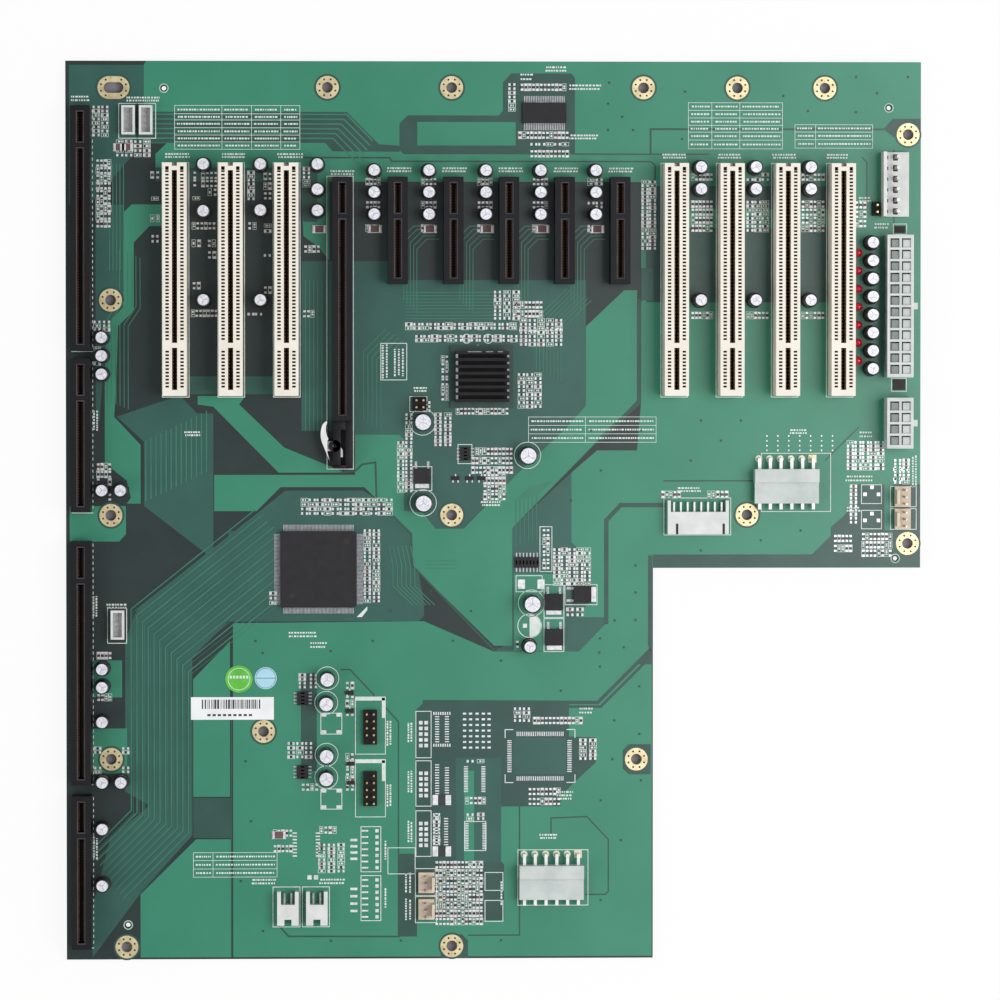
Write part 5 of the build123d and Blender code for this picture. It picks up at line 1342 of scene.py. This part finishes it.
def labels():
    bm = bmesh.new()
    low, high = corners("barcode_label")
    box(bm, (low.x, low.y, TOP), (high.x, high.y, OVERLAY))
    rng = random.Random(5)
    at = low.x + 4.0
    while at < high.x - 5.0:
        wide = rng.choice(BAR_WIDTHS)
        box(bm, (at, low.y + 4.0, TOP), (at + wide, high.y - 0.9, OVERLAY + 0.02), 1)
        at += wide + rng.choice(BAR_GAPS)
    for i in range(LABEL_DASHES):
        x = low.x + 6.0 + i * LABEL_DASH_PITCH
        box(bm, (x, low.y + 1.3, TOP), (x + LABEL_DASH, low.y + 2.1, OVERLAY + 0.02), 1)
    piece("barcode_label_print", bm, ["label_paper", "label_ink"], ["barcode_label"])
    bm = bmesh.new()
    x, y, radius = *GREEN_CENTRE, GREEN_RADIUS
    disc(bm, x, y, radius, TOP, OVERLAY, 0, 40)
    ring(bm, x, y, radius - 1.1, radius - 0.9, TOP, OVERLAY + 0.01, 1)
    for i in range(6):
        block_at(bm, x - 3.0 + i * 1.2, y + 0.7, 0.8, 1.0, TOP, OVERLAY + 0.02, 1)
    piece("green_sticker_print", bm, ["green_vinyl", "legend_ink"], ["green_sticker"])
    bm = bmesh.new()
    x, y, radius = *BLUE_CENTRE, BLUE_RADIUS
    disc(bm, x, y, radius, TOP, OVERLAY, 0, 40)
    ring(bm, x, y, radius - 0.5, radius - 0.35, TOP, OVERLAY + 0.01, 1)
    block_at(bm, x, y, 2 * radius - 0.8, 0.2, TOP, OVERLAY + 0.02, 1)
    piece("blue_sticker_print", bm, ["blue_vinyl", "label_ink"], ["blue_sticker"])


labels()

# Marks and inserts on the connectors
POWER_PITCH, DISK_PITCH, TAIL_PITCH = 4.2, 3.96, 2.54
# A terminal's faces lie this far from its middle, and its dark slots reach to the second value
TERMINAL_NEAR, TERMINAL_FAR = 1.15, 1.64
SIGNAL_GROOVES = (66.9, 84)
LOCATING_PADS = ((149.2, 103.3, 4.0, 2.5), (149.0, 46.3, 4.6, 4.0))
SINK_GLINTS = ((-10, -4.9), (-3.4, -0.8), (1, 2.8))


def socket_inserts():
    """Terminals seen in the power sockets: pale blocks, with dark blocks at their left and upper sides as
    painted shade in the gaps.
    """
    bm = bmesh.new()
    near, far = TERMINAL_NEAR, TERMINAL_FAR
    for name, rows in (("main_power", 12), ("processor_power", 4)):
        low, high = corners(f"{name}_pins")
        top = corners(f"{name}_housing")[1].z
        columns = (low.x + 0.55, high.x - 0.55)
        levels = spread(rows, POWER_PITCH, (low.y + high.y) / 2)
        deep, mouth = top - 6.0, top - 0.85
        for column, x in enumerate(columns):
            for y in levels:
                box(bm, (x - near, y - far, deep), (x + far, y + near, mouth), column)
                box(bm, (x - far, y - 1.2, deep), (x - near - 0.01, y + 1.3, mouth + 0.2), 2)
                box(bm, (x - far, y + near + 0.01, deep), (x + 0.1, y + far, mouth + 0.2), 2)
        left, right = columns[0] - 2.5, columns[1] + 2.5
        for y in [level - POWER_PITCH / 2 for level in levels] + [levels[-1] + POWER_PITCH / 2]:
            bar(bm, (left, y), (right, y), 0.22, top - 0.05, top + 0.01, 3)
        for x in (left, right):
            bar(bm, (x, levels[0] - 2.4), (x, levels[-1] + 2.4), 0.4, top - 0.05, top + 0.015, 3)
    finishes = ["socket_grey", "natural_nylon", "slot_shadow", "white_nylon"]
    piece("socket_terminals", bm, finishes)


def connector_marks():
    # Dark blocks at the aux pins' feet and beside them, in the signal header's grooves and on the locating
    # holes: painted shade
    bm = bmesh.new()
    low, high = corners("aux_power_pins")
    x, floor_level = (low.x + high.x) / 2, TOP + 3.4
    for y in spread(6, DISK_PITCH, (low.y + high.y) / 2):
        block_at(bm, x, y, 1.7, 2.3, floor_level, floor_level + 0.05)
        block_at(bm, x - 3.0, y, 0.7, 1.2, floor_level, floor_level + 0.05)
    low, high = corners("signal_header_housing")
    for x in SIGNAL_GROOVES:
        block_at(bm, x, low.y + 2.0, 0.9, 3.9, high.z - 0.05, high.z + 0.01)
    for x, y, size_x, size_y in LOCATING_PADS:
        block_at(bm, x, y, size_x, size_y, TOP, LEGEND)
    piece("connector_marks", bm, ["slot_shadow"])
    bm = bmesh.new()
    for name in ("disk_power_right", "disk_power_lower"):
        low, high = corners(f"{name}_pins")
        xs = spread(6, DISK_PITCH, (low.x + high.x) / 2)
        for x in xs:
            ring(bm, x, high.y - 0.3, 0.95, 1.3, TOP, LEGEND, 0, 18)
            ring(bm, x, high.y - 0.3, 0.55, 0.95, TOP, PAD, 1, 18)
        block_at(bm, xs[-1], high.y - 0.3, 2.9, 2.9, TOP, TRACE, 1)
        body_low = corners(f"{name}_housing")[0]
        for x in xs:
            block_at(bm, x, body_low.y + 3.7, 2.3, 7.0, TOP + 5.5, TOP + 5.57, 2)
    piece("connector_rings", bm, ["legend_ink", "gold_plating", "white_nylon"])
    # Grey strips on the sink's left edge, between the fin ends and along its top: painted highlights
    bm = bmesh.new()
    low, high = corners("heat_sink")
    box(bm, (low.x + 0.02, low.y + 0.2, high.z - 0.6), (low.x + 0.85, high.y - 0.2, high.z - 0.02))
    for y in spread(7, 2.5, (low.y + high.y) / 2):
        box(bm, (high.x - 0.8, y - 0.4, high.z - 2.0), (high.x - 0.05, y + 0.4, high.z - 0.4))
    for start, end in SINK_GLINTS:
        box(bm, (start, high.y - 0.35, high.z - 0.6), (end, high.y - 0.02, high.z + 0.01))
    piece("sink_cut_marks", bm, ["sink_painted_glint"])


def solder_tails():
    """Tails of the slot contacts under the board."""
    bm = bmesh.new()
    for node in PCI_NODES + SERIAL_NODES + HOST_NODES:
        low, high = corners(node)
        middle = (low.x + high.x) / 2 if node != "pcie_x16_slot" else high.x - SERIAL_HALF
        count = int((high.y - low.y - 8.0) / TAIL_PITCH)
        for y in spread(count, TAIL_PITCH, (high.y + low.y) / 2):
            for hand in (-1, 1):
                block_at(bm, middle + hand * 1.9, y, 0.5, 0.5, 0.3, UNDERSIDE)
                block_at(bm, middle + hand * 1.9, y, 1.3, 1.3, UNDERSIDE - LAYER, UNDERSIDE, 1)
    piece("solder_tails", bm, ["pin_tin", "solder"])


socket_inserts()
connector_marks()
solder_tails()

# Camera, light and floor

CAMERA_PLACE = (-64.4, 52.2, TOP + 2008.5)
CAMERA_TARGET = (2.13, 3.91, TOP)
CAMERA_LENS = 197.07
# Lamps: place and target in metres, size and power
LAMPS = {
    "window_right": ((0.64, -0.04, 1.3), (0.1, 0.0, 0.0), 0.75, 11.3),
    "fill_left": ((-1.1, -0.5, 1.5), (0.0, 0.0, 0.0), 0.8, 5.0),
}
# The floor's half side and level, and the grey discs of painted shade on it under the board's holes, in mm
FLOOR_HALF, FLOOR_LEVEL = 4000.0, -0.4
SHADE_RADIUS, SHADE_LOW, SHADE_HIGH = 4.2, -0.35, -0.2


def camera():
    data = bpy.data.cameras.new("camera")
    data.lens = CAMERA_LENS
    data.sensor_width = 36.0
    data.clip_start, data.clip_end = 0.05, 20.0
    made = put("camera", data)
    place = Vector(CAMERA_PLACE) * MM
    made.location = place
    back = (place - Vector(CAMERA_TARGET) * MM).normalized()
    right = Vector((0, 1, 0)).cross(back).normalized()
    made.rotation_euler = Matrix((right, back.cross(right), back)).transposed().to_euler()
    bpy.context.scene.camera = made


def area_lamp(name, place, target, size, power):
    data = bpy.data.lights.new(name, "AREA")
    data.shape = "SQUARE"
    data.size = size
    data.energy = power
    made = put(name, data)
    made.location = place
    made.rotation_euler = (Vector(target) - Vector(place)).to_track_quat("-Z", "Y").to_euler()


def lights():
    for name, row in LAMPS.items():
        area_lamp(name, *row)
    world = bpy.data.worlds.new("studio")
    bpy.context.scene.world = world
    world.use_nodes = True
    tree = world.node_tree
    tree.nodes.clear()
    rays = add(tree, "LightPath")
    direct, through = rays.outputs["Is Camera Ray"], rays.outputs["Is Transmission Ray"]
    seen = add(tree, "Math", {"operation": "MAXIMUM"}, {0: direct, 1: through})
    soft = add(tree, "Background", None, {"Color": linear("#F4F6F8"), "Strength": 0.55})
    white = add(tree, "Background", None, {"Color": (1, 1, 1, 1), "Strength": 1.0})
    mixed = add(tree, "MixShader", None, {0: seen.outputs[0], 1: soft.outputs[0], 2: white.outputs[0]})
    add(tree, "OutputWorld", None, {"Surface": mixed.outputs[0]})


def floor():
    bm = bmesh.new()
    bmesh.ops.create_grid(bm, x_segments=1, y_segments=1, size=FLOOR_HALF)
    bmesh.ops.translate(bm, vec=(0, 0, FLOOR_LEVEL), verts=bm.verts)
    made = put_mesh("floor", bm)
    material = bpy.data.materials.new("paper_sweep")
    material.use_nodes = True
    tree = material.node_tree
    tree.nodes.clear()
    rays = add(tree, "LightPath")
    paper = add(tree, "BsdfDiffuse", None, {"Color": linear("#F2F2F2")})
    glow = add(tree, "Emission", None, {"Color": (1, 1, 1, 1), "Strength": 1.0})
    share = add(tree, "Math", {"operation": "MULTIPLY"}, {0: rays.outputs["Is Camera Ray"], 1: 0.9})
    mixed = add(tree, "MixShader", None, {0: share.outputs[0], 1: paper.outputs[0], 2: glow.outputs[0]})
    add(tree, "OutputMaterial", None, {"Surface": mixed.outputs[0]})
    made.data.materials.append(material)


def shaded_paper():
    """Grey discs on the paper under the mounting holes: painted shade of the board, seen through the holes.
    """
    bm = bmesh.new()
    x, y, stretch = SLOT_PAD
    for i, hole in enumerate(HOLES + ((x - stretch / 2, y), (x + stretch / 2, y))):
        disc(bm, *hole, SHADE_RADIUS, SHADE_LOW, SHADE_HIGH - i % 2 * LAYER, 0, 32)
    made = put_mesh("shaded_paper", bm)
    made.data.materials.append(finish("painted_shade_under_board", "#918E96", "#837F88", 0.8, 20.0, 1.0, 0.01))


camera()
lights()
floor()
shaded_paper()
scene = bpy.context.scene
scene.view_settings.view_transform = "Standard"
